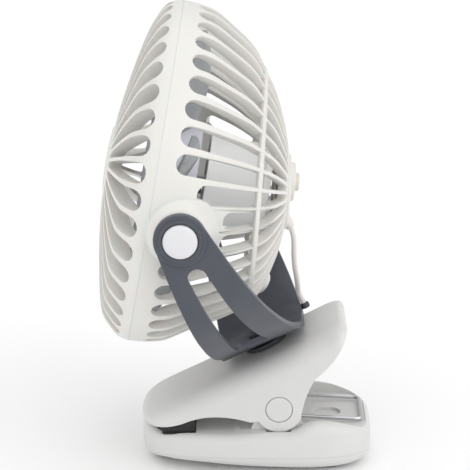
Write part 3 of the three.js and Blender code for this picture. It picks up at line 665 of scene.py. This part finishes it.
def cage_half(section, start, end, shift, slot_start):
    """Half the cage: one thick skin with a slot between each two ribs."""
    bm = bmesh.new()
    for i in range(RIB_COUNT):
        middle = (i + 0.5) * CAGE_PITCH + shift
        edges = []
        for loop in (slot_loop(section, slot_start(middle), end), cell_loop(section, start, end)):
            edges += closed_loop(bm, [(angle + middle, t, 0) for angle, t in loop])
        bmesh.ops.bridge_loops(bm, edges=edges)
    bmesh.ops.remove_doubles(bm, verts=bm.verts, dist=1e-5)
    cut_across(bm, 1, np.arange(1.5, start + 20, 1.5))  # so that the solid places are curved too
    bmesh.ops.recalc_face_normals(bm, faces=bm.faces)
    thickened(bm)
    ends = (shift + 1e-4, shift + 2 * math.pi - 1e-4)  # where the flat skin closes into a ring
    walls = [
        f for f in bm.faces
        if all(v.co.x < ends[0] for v in f.verts) or all(v.co.x > ends[1] for v in f.verts)
    ]
    bmesh.ops.delete(bm, geom=walls, context="FACES")
    bent(bm, section.surface)
    bmesh.ops.remove_doubles(bm, verts=bm.verts, dist=1e-3)
    bmesh.ops.recalc_face_normals(bm, faces=bm.faces)
    return rounded(bm, 0.62, 2, least=50, stays_sharp=on_parting_face)


def on_parting_face(edge):
    """Edges where the two halves of the cage meet."""
    return all(PARTING_FACES[0] < vert.co.y < PARTING_FACES[1] for vert in edge.verts)


def front_cage():
    """The front half, whose slots run from its rim to its hub."""
    section = CageSection(FRONT_SECTION)
    start, end = section.where(1, SLOTS_OUT[0]), section.where(0, SLOTS_IN)
    bm = cage_half(section, start, end, 0.0, lambda angle: start)
    finish_piece("front_cage", bm, HEAD, white_cage_abs(), "head", "front_grille")


def boss_fairing(section, side):
    """The boss of the tilt pivot, which the cage's side swells up to."""
    profile = [(r, None) for r in (0.01, 6, BOSS_FLAT)]
    profile += [(None, f) for f in np.linspace(0.06, 1, 14)]
    rings = []
    for radius, f in profile:
        ring = []
        for angle in np.linspace(0, 2 * math.pi, 73)[:-1]:
            r = radius or BOSS_FLAT + (boss_reach(angle) - BOSS_FLAT) * f
            share = 1 if radius else (1 + math.cos(math.pi * f)) / 2
            s = PIVOT_BEHIND + r * math.cos(angle)
            z = r * math.sin(angle) - PIVOT_BELOW
            outer = np.interp(s, section.line[:, 1], section.line[:, 0])
            shell = math.sqrt(outer ** 2 - z ** 2) - BOSS_FADE
            ring.append((side * (shell + (BOSS_TOP - shell) * share), s, z))
        rings.append(ring)
    rings.append([(x - side * BOSS_SUNK, s, z) for x, s, z in rings[-1]])
    return lofted(rings)


def foot_boss():
    """A small rounded boss low on the rear half, across two ribs."""
    bm = bmesh.new()
    bmesh.ops.create_uvsphere(bm, u_segments=40, v_segments=24, radius=1)
    lie = Matrix.Translation((9, 51.2, -39.6)) @ Matrix.Rotation(math.radians(-20), 4, "X")
    return moved(bm, lie @ Matrix.Diagonal((5.1, 2.6, 5.1, 1)))


def rear_cage():
    """The rear half, with the ring round its hub, the pivots' bosses and the small boss."""
    section = CageSection(REAR_SECTION)
    start, end = section.where(1, SLOTS_OUT[1]), section.where(0, SLOTS_IN)

    def on_boss(t, angle):
        """Whether a place is on the pivot's boss, or on the solid wall just above its front."""
        radius, s = section.at(t)[:2]
        run, rise = s - PIVOT_BEHIND, radius * math.sin(angle) + PIVOT_BELOW
        just_above = 14 < rise < 27 and run < 4
        reach = boss_reach(math.atan2(rise, run)) + BOSS_CLEAR
        return just_above or math.hypot(run, rise) < reach

    def slot_start(angle):
        """Slots that would run into the pivot's boss start behind it."""
        tries = np.arange(start, section.along[-1] / 2, 0.25)
        blocked = [t for t in tries if on_boss(t, angle)]
        return blocked[-1] if blocked else start

    bm = cage_half(section, start, end, -REAR_RIB_SHIFT, slot_start)
    ring = rounded(turned([(49.2, 41.3), (50.8, 39.6), (52.2, 40.9), (50.6, 42.8)], 96), 0.5)
    bent(ring, leaned)
    joined(bm, ring, boss_fairing(section, 1), boss_fairing(section, -1), foot_boss())
    finish_piece("rear_cage", bm, HEAD, white_cage_abs(), "head", "rear_grille")


def hub_covers():
    """The discs that close the cage's two hubs, and the button in the rear one."""
    front = turned([
        (0, -21.4), (15.7, -21), (15.7, -23), (15.2, -23.5), (13.2, -23.6), (12.9, -23.2),
        (12.3, -23.2), (12, -23.8), (7, -24.3), (0, -24.4),
    ])
    finish_piece("front_hub_cover", front, HEAD, white_cage_abs(), "head",
                 "front_cap")
    up = Matrix.Translation((0, 0, 4.6))  # of the button above the middle of the hub
    disc = turned([
        (0, 53.1), (16.2, 53.1), (16.2, 55.4), (15.9, 55.8), (14.8, 56.2), (14.2, 56.3), (0, 56.3),
    ])
    bezel = turned([
        (4.3, 53.5), (8.4, 53.5), (8.4, 57.5), (8.1, 58), (7.5, 58.2), (4.7, 58.2), (4.3, 57.9),
    ])
    well = turned([(0, 50), (4.3, 50), (4.3, 62), (0, 62)])
    rear = joined(carved(disc, moved(well, up)), moved(bezel, up))
    finish_piece("rear_hub_cover", rear, REAR_HUB, white_cage_abs(), "head",
                 "rear_cap")
    knob = turned([
        (0, 51.4), (5.4, 51.4), (5.4, 52.5), (3.9, 52.5), (3.9, 59.5), (3.7, 59.9), (3.2, 60.1),
        (1.6, 59.95), (0, 59.9),
    ])
    finish_piece("button_knob", moved(knob, up), REAR_HUB, ivory_button_abs(), "button",
                 "power_button")


def fan_motor():
    """The motor's can, and the cup of the rear cage that holds it."""
    cup = turned([
        (17.2, 19), (18.7, 19), (19, 19.3), (19, 42.2), (19.3, 43), (20.6, 43.6), (20.6, 46.2),
        (20.3, 46.4), (18.8, 46.4), (18.8, 44.4), (3, 44.4), (3, 42.6), (17.2, 42.6),
    ])
    # the cup's white is painted brighter than the cage's, as painted light inside the cage
    finish_piece("motor_cup", cup, HEAD, painted_bright_motor_abs(), "head", "motor_housing")
    can = turned([
        (0, 42), (13.6, 42), (15, 41.4), (15.8, 40.2), (15.8, 23), (15.2, 22.2), (14.4, 22),
        (1.9, 22), (1.9, 38), (0, 38),
    ])
    finish_piece("motor_can", can, HEAD, drawn_motor_steel(), "head", "motor")


BLADE_COUNT = 5
BLADE_ROOT = 19.8  # radius at which a blade leaves the cup
BLADE_REACH = 43.2  # from there to its tip
BLADE_MIDDLE = 3.5  # how far behind the parting plane the middle of the blades is


def fan_blades():
    """Twisted blades, thin at their edges, and the cup that carries them."""
    hub = turned([
        (0, -8), (16, -8), (18, -7.6), (19.8, -6.2), (20.8, -4), (21, -2.4), (21, 14.6),
        (20.7, 15), (19.2, 15), (19.2, -4.4), (3.6, -5.6), (3.6, 6), (1.8, 6), (1.8, -5.2),
        (0, -5.2),
    ])
    for face in hub.faces:
        face.material_index = 1  # of the two coats below
    for i in range(BLADE_COUNT):
        blade = bmesh.new()
        bmesh.ops.create_grid(blade, x_segments=14, y_segments=10, size=0.5)
        bent(thickened(blade), lambda u, v, w: blade_place(u + 0.5, v, w, i))
        joined(hub, blade)
    coats = [smoked_blade_polycarbonate(), lilac_hub_abs()]
    finish_piece("blade_wheel", hub, HEAD, coats, "rotor", "impeller")


def blade_place(out, along, face, turn):
    """A place on a blade: out from cup to tip, along its chord, and from one face to the other."""
    radius = BLADE_ROOT + out * BLADE_REACH
    tip_corners = 1 - 0.12 * max(0, (out - 0.85) / 0.15) ** 2
    chord = (20 + 26 * math.sin(out * 2.1)) * tip_corners  # widest at three quarters of the way
    pitch = math.radians(42 - 22 * out)  # flatter towards the tip
    camber = 1.8 * (1 - (2 * along) ** 2)
    half_thick = 0.2 + 0.5 * (1 - (2 * along) ** 2)
    lift = camber + (2 * face - 1) * half_thick - 0.4
    across = along * chord * math.cos(pitch) - lift * math.sin(pitch)
    axial = along * chord * math.sin(pitch) + lift * math.cos(pitch)
    swept = math.radians(14 * out ** 2)
    angle = swept + across / radius + turn * 2 * math.pi / BLADE_COUNT
    return Vector((radius * math.cos(angle), BLADE_MIDDLE + axial, radius * math.sin(angle)))


# ---------- the yoke ----------
BAND = 2.6  # thickness
BAND_FLOOR = 2.9  # underside of the yoke's foot above the clip's back
BAND_HALF_TOP = 10.8  # half its width at the pivots
BAND_HALF_FOOT = 19.6  # and at the foot
BAND_RISE = [
    (0, 0), (9, 0), (17, 2.2), (26, 5.6), (36, 10), (46, 15.6), (54.5, 21.6), (66, 32), (74, 43),
    (79, 55), (81.2, 67), (81.5, YOKE_HEIGHT - BAND_FLOOR),
]  # (x, height above the foot) of the strap's outer face, from the middle to a pivot
WINDOW_TOP = (13.3, 3.9)  # its gap below the pivot, and the radius of its round top
WINDOW_FOOT = (10.6, 3.4, 3.8)  # height of its lower end, radius and half spacing of its corners
WINDOW_SHIFT = -1.1  # forwards from the strap's middle
LUG = Matrix.Translation((-12, 21.2, 0)) @ TO_UPRIGHT  # where the lead meets the yoke's foot


def foot_lift(x, v, z):
    """How much the bends beside the foot stand up, most along their front edge."""
    return (1.1 - 0.058 * v) * fading(abs(x) - 6, 12) * (1 - fading(z - 12, 30))


def yoke_band():
    """A flat strap with two windows, bent up into a U."""
    flat = 10  # the path's first places, on the flat foot
    path = smooth_line([(x, z + BAND_FLOOR) for x, z in BAND_RISE])
    straight_on = path[-1] + [0.0, BAND_HALF_TOP + 1]
    path = np.vstack([path, straight_on])
    along = run_length(path)
    length = along[-2]

    def half_width(u):
        """Half the strap's width at that distance along it."""
        z = np.interp(u, along, path[:, 1])
        return np.interp(z, [BAND_FLOOR, YOKE_HEIGHT], [BAND_HALF_FOOT, BAND_HALF_TOP])

    def at_height(z):
        """Distance along the strap at which its outer face is that high."""
        return float(np.interp(z, path[flat:, 1], along[flat:]))

    stations = np.linspace(0, length, 40)
    side = [(u, half_width(u)) for u in stations]
    tip = arc((length, 0), BAND_HALF_TOP, 90, -90, 20)[1:-1]
    half = [*side, *tip, *[(u, -v) for u, v in side[::-1]]]
    outline = [*half, *[(-u, v) for u, v in half[::-1]]]
    outline = [p for p, q in zip(outline, outline[1:] + outline[:1]) if math.dist(p, q) > 1e-6]
    (gap, wide), (low, corner, apart) = WINDOW_TOP, WINDOW_FOOT
    top, foot = at_height(YOKE_HEIGHT - gap - wide), at_height(low) + corner
    window = [*arc((top, 0), wide, 90, -90, 14), *arc((foot, -apart), corner, -90, -180, 6),
              *arc((foot, apart), corner, 180, 90, 6)]
    window = [(u, v + WINDOW_SHIFT) for u, v in window]
    bm = plate(outline, 1, [window, [(-u, v) for u, v in window]])
    cut_across(bm, 0, np.concatenate([-stations[:0:-1], stations]))

    def place(u, v, w):
        """Bends the strap: w runs through its thickness, from the outer face inwards."""
        spot = [np.interp(abs(u), along, column) for column in path.T]
        ahead = [np.interp(abs(u) + 0.4, along, column) for column in path.T]
        behind = [np.interp(abs(u) - 0.4, along, column) for column in path.T]
        if abs(u) < 0.4:
            behind[0] = -ahead[0]
        run = Vector((ahead[0] - behind[0], ahead[1] - behind[1])).normalized()
        x = spot[0] - run.y * BAND * w
        z = spot[1] + run.x * BAND * w
        z += foot_lift(x, v, z)
        return Vector((math.copysign(x, u) if abs(u) > 1e-6 else 0, v, z))

    return rounded(bent(bm, place), 0.7, least=50)


def at_pivot(profile, side):
    """A profile turned about the tilt axis, by distance from the middle, at one of the pivots."""
    turn = Matrix.Rotation(-side * math.pi / 2, 4, "Z")
    return moved(turned(profile), Matrix.Translation((0, 0, YOKE_HEIGHT)) @ turn)


def yoke():
    """The strap with a collar round each pivot, and a lug for the lead on its foot."""
    collar = [
        (7.3, 80.6), (10.5, 79.2), (10.8, 79.5), (10.8, 81.9), (10.4, 82.35), (9.15, 82.4),
        (9.0, 82.55), (8.95, 82.8), (8.7, 83), (7.6, 83), (7.3, 82.8),
    ]
    lug = turned([(1.5, 3.2), (1.9, 3.2), (2, 3.4), (2, 4.9), (1.9, 5.1), (1.5, 5.1)], 32)
    bm = joined(yoke_band(), at_pivot(collar, 1), at_pivot(collar, -1), moved(lug, LUG))
    finish_piece("yoke_strap", bm, CLIP_BACK, slate_yoke_nylon(), "yoke", "yoke")


def pivot_caps():
    """The round caps over the pivots' screws."""
    profile = [
        (0, 82.9), (4.6, 82.9), (4.6, 81.4), (6.9, 81.4), (6.95, 83.3), (6.7, 83.8), (6.1, 84.2),
        (4.6, 84.55), (2.4, 84.75), (0, 84.8),
    ]
    for side, label in ((1, "right"), (-1, "left")):
        finish_piece(f"pivot_button_{label}", at_pivot(profile, side), CLIP_BACK, gloss_cap_abs(),
                     "yoke", f"pivot_cap_{label}")


def swivel_trim():
    """The disc under the yoke's foot, and the cover over the swivel's nut."""
    disc = turned([(2.2, 0.3), (9.7, 0.3), (10, 0.6), (10, 2.2), (9.6, 2.6), (2.2, 2.6)])
    cover = turned([
        (0, 7.9), (4.6, 7.9), (4.6, 6.2), (6.2, 6.2), (6.4, 6.4), (6.4, 7.8), (6.2, 8.2),
        (5, 8.6), (2, 8.7), (0, 8.7),
    ])
    place = CLIP_BACK @ TO_UPRIGHT
    finish_piece("swivel_plate", disc, place, black_swivel_nylon(), "yoke",
                 "swivel_disc")
    finish_piece("swivel_button", cover, place, black_swivel_nylon(), "yoke",
                 "swivel_cover")


# ---------- the clip ----------
JAW_HALF = 24
JAW_NOSE = -63  # end of the nose, along the clip's back from the swivel
JAW_TIP = 36.2  # and of the handle
JAW_DEEP = 45  # deeper than the hinge lobe hangs below the clip's back
LOBE_RADIUS = 10.3  # of the jaw's sides round the hinge


def along_back(y, z):
    """A side-view place as distance along the clip's back and depth below it."""
    run, fall = y - SWIVEL.y, z - SWIVEL.z
    slope, rise = math.cos(CLIP_SLOPE), math.sin(CLIP_SLOPE)
    return run * slope + fall * rise, run * rise - fall * slope


def jaw_edge():
    """The lower edge of the jaw's sides: nose, mouth, hinge lobe and handle."""
    lobe = arc((AXLE.y, AXLE.z), LOBE_RADIUS, 212, 338, 36)
    side_view = [
        *bezier([(-50.8, 21.3), (-49.6, 20.3), (-47.5, 20.3)], 6),
        *bezier([(-47.5, 20.3), (-39.5, 19.9), (-32.4, 22.2)], 12),
        *bezier([(-32.4, 22.2), (-19, 28.4), (-1.1, 22.2)], 20),
        *lobe[:-1],
        *bezier([lobe[-1], (20.6, 36), (25.6, 43.3)], 12),
        *bezier([(25.6, 43.3), (35, 51), (38.9, 63)], 12), (38.9, 63),
    ]
    return np.array([along_back(y, z) for y, z in side_view])


def jaw_plan(side_inset, nose_inset, tip_inset):
    """The jaw seen square on to its back, anticlockwise from the middle of the nose."""
    half, nose, tip = JAW_HALF - side_inset, JAW_NOSE + nose_inset, JAW_TIP - tip_inset
    f = min(1, half / 14)  # corners shrink with a narrow outline
    first, last = nose + 13 * f, tip - 8 * f
    right = [
        *bezier([(0, nose), (half - 6 * f, nose), (half, nose + 3 * f), (half, first)], 24),
        *[(half, y) for y in np.linspace(first, last, 90)[:-1]],
        *bezier([(half, last), (half, tip - 2 * f), (half - 4 * f, tip), (half - 10 * f, tip)], 14),
        *[(x, tip) for x in np.linspace(half - 10 * f, 0, 6)[:-1]],
    ]
    return [*right, (0, tip), *[(-x, y) for x, y in right[:0:-1]]]


JAW_CROWN = 0.7  # how much higher the middle of the clip's back is than its shoulders
SHOULDER_FALL = 9  # how deep the rounded shoulders reach where the jaw's side is high enough
SHOULDER = (10, 5, 2)  # and how far inwards: at the sides, the nose and the tip
SHOULDER_END = math.radians(83)  # the slope at which the crown takes over
CROWN = (12, 14, 10)  # reach of the crown, from there inwards


def jaw_skin():
    """The jaw's solid before its underside is cut: a crown, deep shoulders and straight sides."""
    edge = jaw_edge()
    rings = [[(x, y, -JAW_DEEP) for x, y in jaw_plan(0, 0, 0)]]
    for swing in np.linspace(0, SHOULDER_END, 10):
        ring = []
        for x, y in jaw_plan(*(reach * (1 - math.cos(swing)) for reach in SHOULDER)):
            shoulder = min(SHOULDER_FALL, 0.72 * np.interp(y, edge[:, 0], edge[:, 1]))
            fall = shoulder * (math.sin(SHOULDER_END) - math.sin(swing))
            ring.append((x, y, -JAW_CROWN - fall))
        rings.append(ring)
    turned_in = 1 - math.cos(SHOULDER_END)
    for f in np.linspace(0, 1, 8)[1:]:
        insets = [reach * turned_in + more * f for reach, more in zip(SHOULDER, CROWN)]
        rings.append([(x, y, -JAW_CROWN * (1 - f) ** 1.8) for x, y in jaw_plan(*insets)])
    return lofted(rings)


def jaw_underside():
    """What is cut away below the edge of the jaw's sides."""
    edge = [(run, -deep) for run, deep in jaw_edge()]
    front, rear, below = JAW_NOSE - 9, JAW_TIP + 8.8, -2 * JAW_DEEP
    return side_plate([(front, edge[0][1]), *edge, (rear, edge[-1][1]), (rear, below),
                       (front, below)], ACROSS)


def upper_jaw():
    """The jaw's shell: the outer form less the inner one, open below, with seats for its caps."""
    seats = [
        moved(turned([(0, 22.6), (6, 22.6), (6, 30), (0, 30)], 48), CLIP_BACK.inverted() @ place)
        for place in (HINGE, HINGE @ HALF_TURN)
    ]
    bm = rounded(carved(jaw_skin(), jaw_underside(), jaw_core(), *seats), 0.35, 2, least=55)
    finish_piece("jaw_shell", bm, CLIP_BACK, clip_abs(), "jaw", "upper_jaw")


def jaw_core():
    """The hollow under the jaw, which leaves a wall of about 2.2 mm and keeps above the edge."""
    edge = jaw_edge()
    rings = []
    for reach, level in ((0, -JAW_DEEP - 5), (0, -9), (1.8, -5.2), (6, -3.0), (9, -2.5)):
        ring = []
        for x, y in jaw_plan(2.2 + reach, 2.4 + reach * 0.6, 2.2 + reach * 0.3):
            deep = np.interp(y, edge[:, 0], edge[:, 1])
            shallow = level > -JAW_DEEP and deep < 9
            ring.append((x, y, max(level, -0.9 * deep) if shallow else level))
        rings.append(ring)
    return lofted(rings)


def axle_caps():
    """The flat caps over the ends of the hinge axle."""
    for place, label in ((HINGE, "right"), (HINGE @ HALF_TURN, "left")):
        cap = turned([(0, 22.9), (5.7, 22.9), (5.7, 23.85), (5.45, 24.1), (0, 24.15)], 48)
        finish_piece(f"axle_plug_{label}", cap, place, clip_abs(), "jaw",
                     f"axle_cap_{label}")


def side_plate(outline, half_width):
    """A side-view outline of (y, z) made into a block of that half width."""
    bm = plate(outline, 2 * half_width)
    return bent(bm, lambda y, z, x: Vector((x - half_width, y, z)))


def pads():
    """The two rubber pads that meet in the clip's mouth."""
    outline = [
        (-43.7, 19.7), (-41, 18), *arc((-28, 19), 1, -90, 0, 4), (-27, 23.8), (-31.2, 21.7),
        (-35, 20.4), (-38.6, 19.8),
    ]
    upper = rounded(side_plate(outline, 22.6), 0.5, 2)
    finish_piece("jaw_grip", upper, WORLD, black_pad_rubber(), "jaw", "jaw_pad")
    lower = bmesh.new()
    bmesh.ops.create_cube(lower, size=1)
    moved(lower, Matrix.Translation((0, -34.1, 17.25)) @ Matrix.Diagonal((45.2, 14.2, 0.9, 1)))
    rounded(lower, 0.3, 2)
    finish_piece("base_grip", lower, WORLD, black_pad_rubber(), "base", "base_pad")


# ---------- the base ----------
SEAM = 8  # height at which its two halves meet
SEAM_GAP = 0.03  # between each half and the seam
BASE_TOP = 18.8  # height of its flat top
BASE_ROUND = 4.2  # radius of its top edge
TAIL_FLOOR = 18.6  # of the recess in the tail
LAMP = Matrix.Translation((9, 0, 11.3))
ABOVE = 40  # higher than anything of the base, for what is cut from above


def base_plan(inset):
    """The base seen from above, a rounded slab that narrows a little at the front."""
    half, front, rear = BASE_HALF - inset, -BASE_LONG + inset, BASE_LONG - inset
    right = [
        *bezier([(0, front), (half * 0.62, front), (half * 0.86, front + 6),
                 (half * 0.93, front + 22)], 14),
        *bezier([(half * 0.93, front + 22), (half, front + 40), (half, 0), (half, 14)], 14),
        *bezier([(half, 14), (half, rear - 10), (half - 5, rear), (half * 0.24, rear)], 16),
        (half * 0.24, rear),
    ]
    left = [(-x, y) for x, y in right[::-1]]
    return [*right, *left[:-1]]


def tail_rise(y):
    """How much higher than elsewhere the base's top is at the tail, and lower at the front."""
    places = [-12, 2, 15, 18, 21, 24, 28, 34, 42, 48, 51]
    heights = [-1.2, 0, 0, 1.2, 3.4, 4.6, 4.8, 4.1, 2.2, 0.8, 0.6]
    return float(np.interp(y, places, heights))


def base_shell():
    """The upper half of the base: a rounded edge all round, and a hump beside the hinge's tail."""
    rings = [[(x, y, SEAM + SEAM_GAP) for x, y in base_plan(0)]]
    edge = [(BASE_ROUND * (1 - math.cos(a)), BASE_ROUND * math.sin(a)) for a in QUARTER]
    for inset, up in edge + [(6.1, BASE_ROUND)]:
        rings.append([(x, y, BASE_TOP + tail_rise(y) - BASE_ROUND + up)
                      for x, y in base_plan(inset)])
    rings.append([(x, y, BASE_TOP) for x, y in base_plan(6.5)])
    bm = carved(lofted(rings), base_hollow(), front_slope(), tail_recess(), pad_seat(),
                tail_dip(), socket_opening(), lamp_hole(), lobe_notch(21.2), lobe_notch(-24.9))
    rounded(bm, 0.4, 2, least=40)
    joined(bm, ear(17.4), ear(-21.2))
    finish_piece("base_shell", bm, WORLD, clip_abs(), "base", "base_top")


def slab(outline, low, high):
    """An outline of (x, y) made into an upright block between two heights."""
    return moved(plate(outline, high - low), Matrix.Translation((0, 0, low)))


def block(left, right, front, rear, low, high):
    """A plain upright block."""
    return slab([(left, front), (right, front), (right, rear), (left, rear)], low, high)


def tail_recess():
    """The recess in the tail that the spring's wire loop lies in."""
    half, front, rear = 23, 12, 48.2
    outline = [
        (-half, front), (half, front),
        *bezier([(half, rear - 15), (half - 1, rear), (half - 9, rear)], 10), (half - 9, rear),
        *bezier([(-half + 9, rear), (-half + 1, rear), (-half, rear - 15)], 10), (-half, rear - 15),
    ]
    return slab(outline, TAIL_FLOOR, ABOVE)


def front_slope():
    """What is cut away above the lower front part of the base's top."""
    low = BASE_TOP - 1.18
    return side_plate([(-60, low), (-12, low), (2, BASE_TOP), (2, ABOVE), (-60, ABOVE)], ACROSS)


def pad_seat():
    return block(-22.9, 22.9, -41.5, -26.7, 16.5, ABOVE)


def tail_dip():
    """The oval dip in the tail's floor."""
    outline = [*arc((0, 32.6), 5, 0, 180, 20), *arc((0, 29.4), 5, 180, 360, 20)]
    return slab(outline, TAIL_FLOOR - 1.4, ABOVE)


def socket_opening():
    return block(-4.9, 4.9, 44, 60, 9.3, 13.3)


def lamp_hole():
    return moved(turned([(0, 40), (1.4, 40), (1.4, 60), (0, 60)], 24), LAMP)


def lobe_notch(left):
    """Room for a lobe of the jaw in the base's top, under the hinge."""
    return block(left, left + 3.7, 4, 15, 17.4, 19.5)


def base_hollow():
    wall, roof = 2.6, 3.4
    return lofted([[(x, y, z) for x, y in base_plan(wall)] for z in (0, BASE_TOP - roof)])


def ear(x):
    """An upright fin that carries one end of the hinge axle."""
    outline = [(-3.2, 17), (22, 17), (17.4, 26.4),
               *arc((AXLE.y, AXLE.z), 6.6, 10, 170, 16), (-0.6, 24)]
    bm = plate(outline, 3.8)
    bent(bm, lambda y, z, w: Vector((x + w, y, z)))
    return rounded(bm, 0.35, 2)


def underside_rise(x, y):
    """The base's underside rises at the front towards its long edges, like a boat's."""
    places, rises = [-50.5, -39, -25, -13.5, 0, 14, 30], [4.2, 3.4, 2.7, 1.6, 0.9, 0.3, 0]
    return float(np.interp(y, places, rises)) * fading(abs(x) - 8, 14)


def base_tray():
    """The lower shell, whose edge curves in under the base."""
    flat, rim = 1.2, SEAM - SEAM_GAP
    levels = [(inset, flat) for inset in (23, 19, 15, 11)]
    levels += [(7.2 * (1 - math.sin(a)), flat + (rim - flat) * (1 - math.cos(a)))
               for a in QUARTER]
    rings = []
    for inset, z in levels:
        share = (rim - z) / (rim - flat)
        rings.append([(x, y, z + share * underside_rise(x, y)) for x, y in base_plan(inset)])
    cell_room = block(-16, 16, -24, 38, 3.6, SEAM + 3)
    screw_holes = [
        moved(turned([(0, 0), (2.9, 0), (2.9, 3), (1.7, 3), (1.7, 9), (0, 9)], 32),
              Matrix.Translation((x, y, 0)) @ TO_UPRIGHT)
        for x, y in ((6, -31), (-6, -31), (16.6, 33), (-16.6, 33))
    ]
    bm = carved(lofted(rings), cell_room, *screw_holes)
    finish_piece("base_tray", bm, WORLD, clip_abs(), "base", "base_bottom")


def foot_pad():
    """The anti-slip pad hides the screws, and narrows to the front."""
    outline = [*arc((13, 31), 7, 0, 90, 8), *arc((-13, 31), 7, 90, 180, 8),
               *arc((-5, -39), 3, 180, 270, 8), *arc((5, -39), 3, 270, 360, 8)]
    rings = [[(x * share, y * share, z) for x, y in outline]
             for z, share in ((0.9, 1), (0.2, 1), (0, 0.98))]
    finish_piece("foot_grip", lofted(rings), WORLD, black_pad_rubber(), "base",
                 "underside_pad")


# ---------- wires ----------
WIRE_RADIUS = 0.9
COIL_RADIUS = 6
COIL_TURNS = 3 + 120 / 360
COIL_SPAN = (3.6, 13)  # from the middle
LEAD_RADIUS = 1.2
LEAD_ROUTE = [
    (0, 11.4, 110.2), (0, 12.6, 108.2), (0, 13.9, 106), (-0.1, 15, 103.6), (-0.5, 15.9, 100.4),
    (-1.2, 16.2, 96.6), (-2.4, 16.3, 91), (-4, 16.8, 85), (-6.4, 17.7, 79.4), (-9.4, 18.2, 75),
    (-11.6, 18.5, 72), (-12, 19.4, 69.2), (-12, 20.5, 67), (-12, 21.5, 65),
]


def clamp_spring():
    """One wire: two coils round the hinge, joined by a loop that lies on the tail. Its inner arms
    follow the jaw's handle, and the coils wind up between them and the loop."""
    half = []
    for f in np.linspace(0, 1, 81):
        angle = math.radians(150) + f * COIL_TURNS * 2 * math.pi
        x = COIL_SPAN[0] + (COIL_SPAN[1] - COIL_SPAN[0]) * f
        spot = Vector((x, COIL_RADIUS * math.cos(angle), COIL_RADIUS * math.sin(angle)))
        half.append(AXLE + spot)
    arm = Vector((0, math.cos(math.radians(60)), math.sin(math.radians(60)))) * 25
    half.insert(0, half[0] + arm)
    out, corner = COIL_SPAN[1], 2.8  # the loop's half width, and the radius of its corners
    half += [Vector(p) for p in ((out, 19.4, 21.7), (out, 31, 20.9), (out, 42.6, 20.3))]
    half += [Vector((out - corner * (1 - math.cos(a)), 43.6 + corner * math.sin(a), 20.25))
             for a in np.radians([20, 40, 60, 80])]
    path = half + [Vector((-p.x, p.y, p.z)) for p in half[::-1]]
    spring = wire("hinge_spring", path, WIRE_RADIUS, nickel_spring_wire(),
                  "clamp_spring")
    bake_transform(spring)


def head_lead():
    """The lead from the head to the yoke's foot, held at both ends."""
    route = smooth_line(LEAD_ROUTE, 6)
    lead = wire("head_lead", route, LEAD_RADIUS, white_lead_pvc(), "power_cable", 4)
    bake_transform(lead)


def glands():
    """The sleeves that hold the two ends of the lead."""
    gland = turned([
        (1.5, -1.8), (2.3, -1.8), (2.3, 2), (2.2, 2.3), (2.05, 3.9), (1.8, 4.4), (1.5, 4.4),
    ], 32)
    finish_piece("head_lead_gland", gland, LEAD_OUT, white_cage_abs(), "head",
                 "head_gland")
    gland = turned([(1.25, 4), (1.5, 4), (1.5, 5.4), (1.45, 5.6), (1.25, 5.6)], 32)
    finish_piece("yoke_lead_gland", gland, CLIP_BACK @ LUG, slate_yoke_nylon(), "yoke",
                 "yoke_gland")


def dress_cad_nodes():
    """Gives each CAD piece that stays its finish."""
    finishes = {
        zinc_screw_steel(): [
            "pivot_screw_right", "pivot_screw_left", "swivel_washer", "swivel_post", "swivel_nut",
            "jaw_axle", "motor_screw_1", "motor_screw_2", "motor_shaft",
            "base_screw_1", "base_screw_2", "base_screw_3", "base_screw_4",
        ],
        black_pad_rubber(): ["pivot_washer_right", "pivot_washer_left"],
        solder_mask("white_solder_mask", "#DCDDD9", "#D5D7D2", "#E6E6E2"): ["switch_board"],
        solder_mask("green_solder_mask", "#25573A", "#2A6342", "#4B8A62"): ["charge_board"],
        blue_cell_wrap(): ["battery"],
        tinned_socket_steel(): ["usb_socket"],
        frosted_lamp_lens(): ["charge_lamp"],
    }
    for material, nodes in finishes.items():
        for name in nodes:
            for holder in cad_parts[name].material_slots:
                holder.material = material


make_camera()
make_studio()
for make in (front_cage, rear_cage, hub_covers, fan_motor, fan_blades, yoke, pivot_caps,
             swivel_trim, upper_jaw, axle_caps, pads, base_shell, base_tray, foot_pad,
             clamp_spring, head_lead, glands, dress_cad_nodes):
    make()
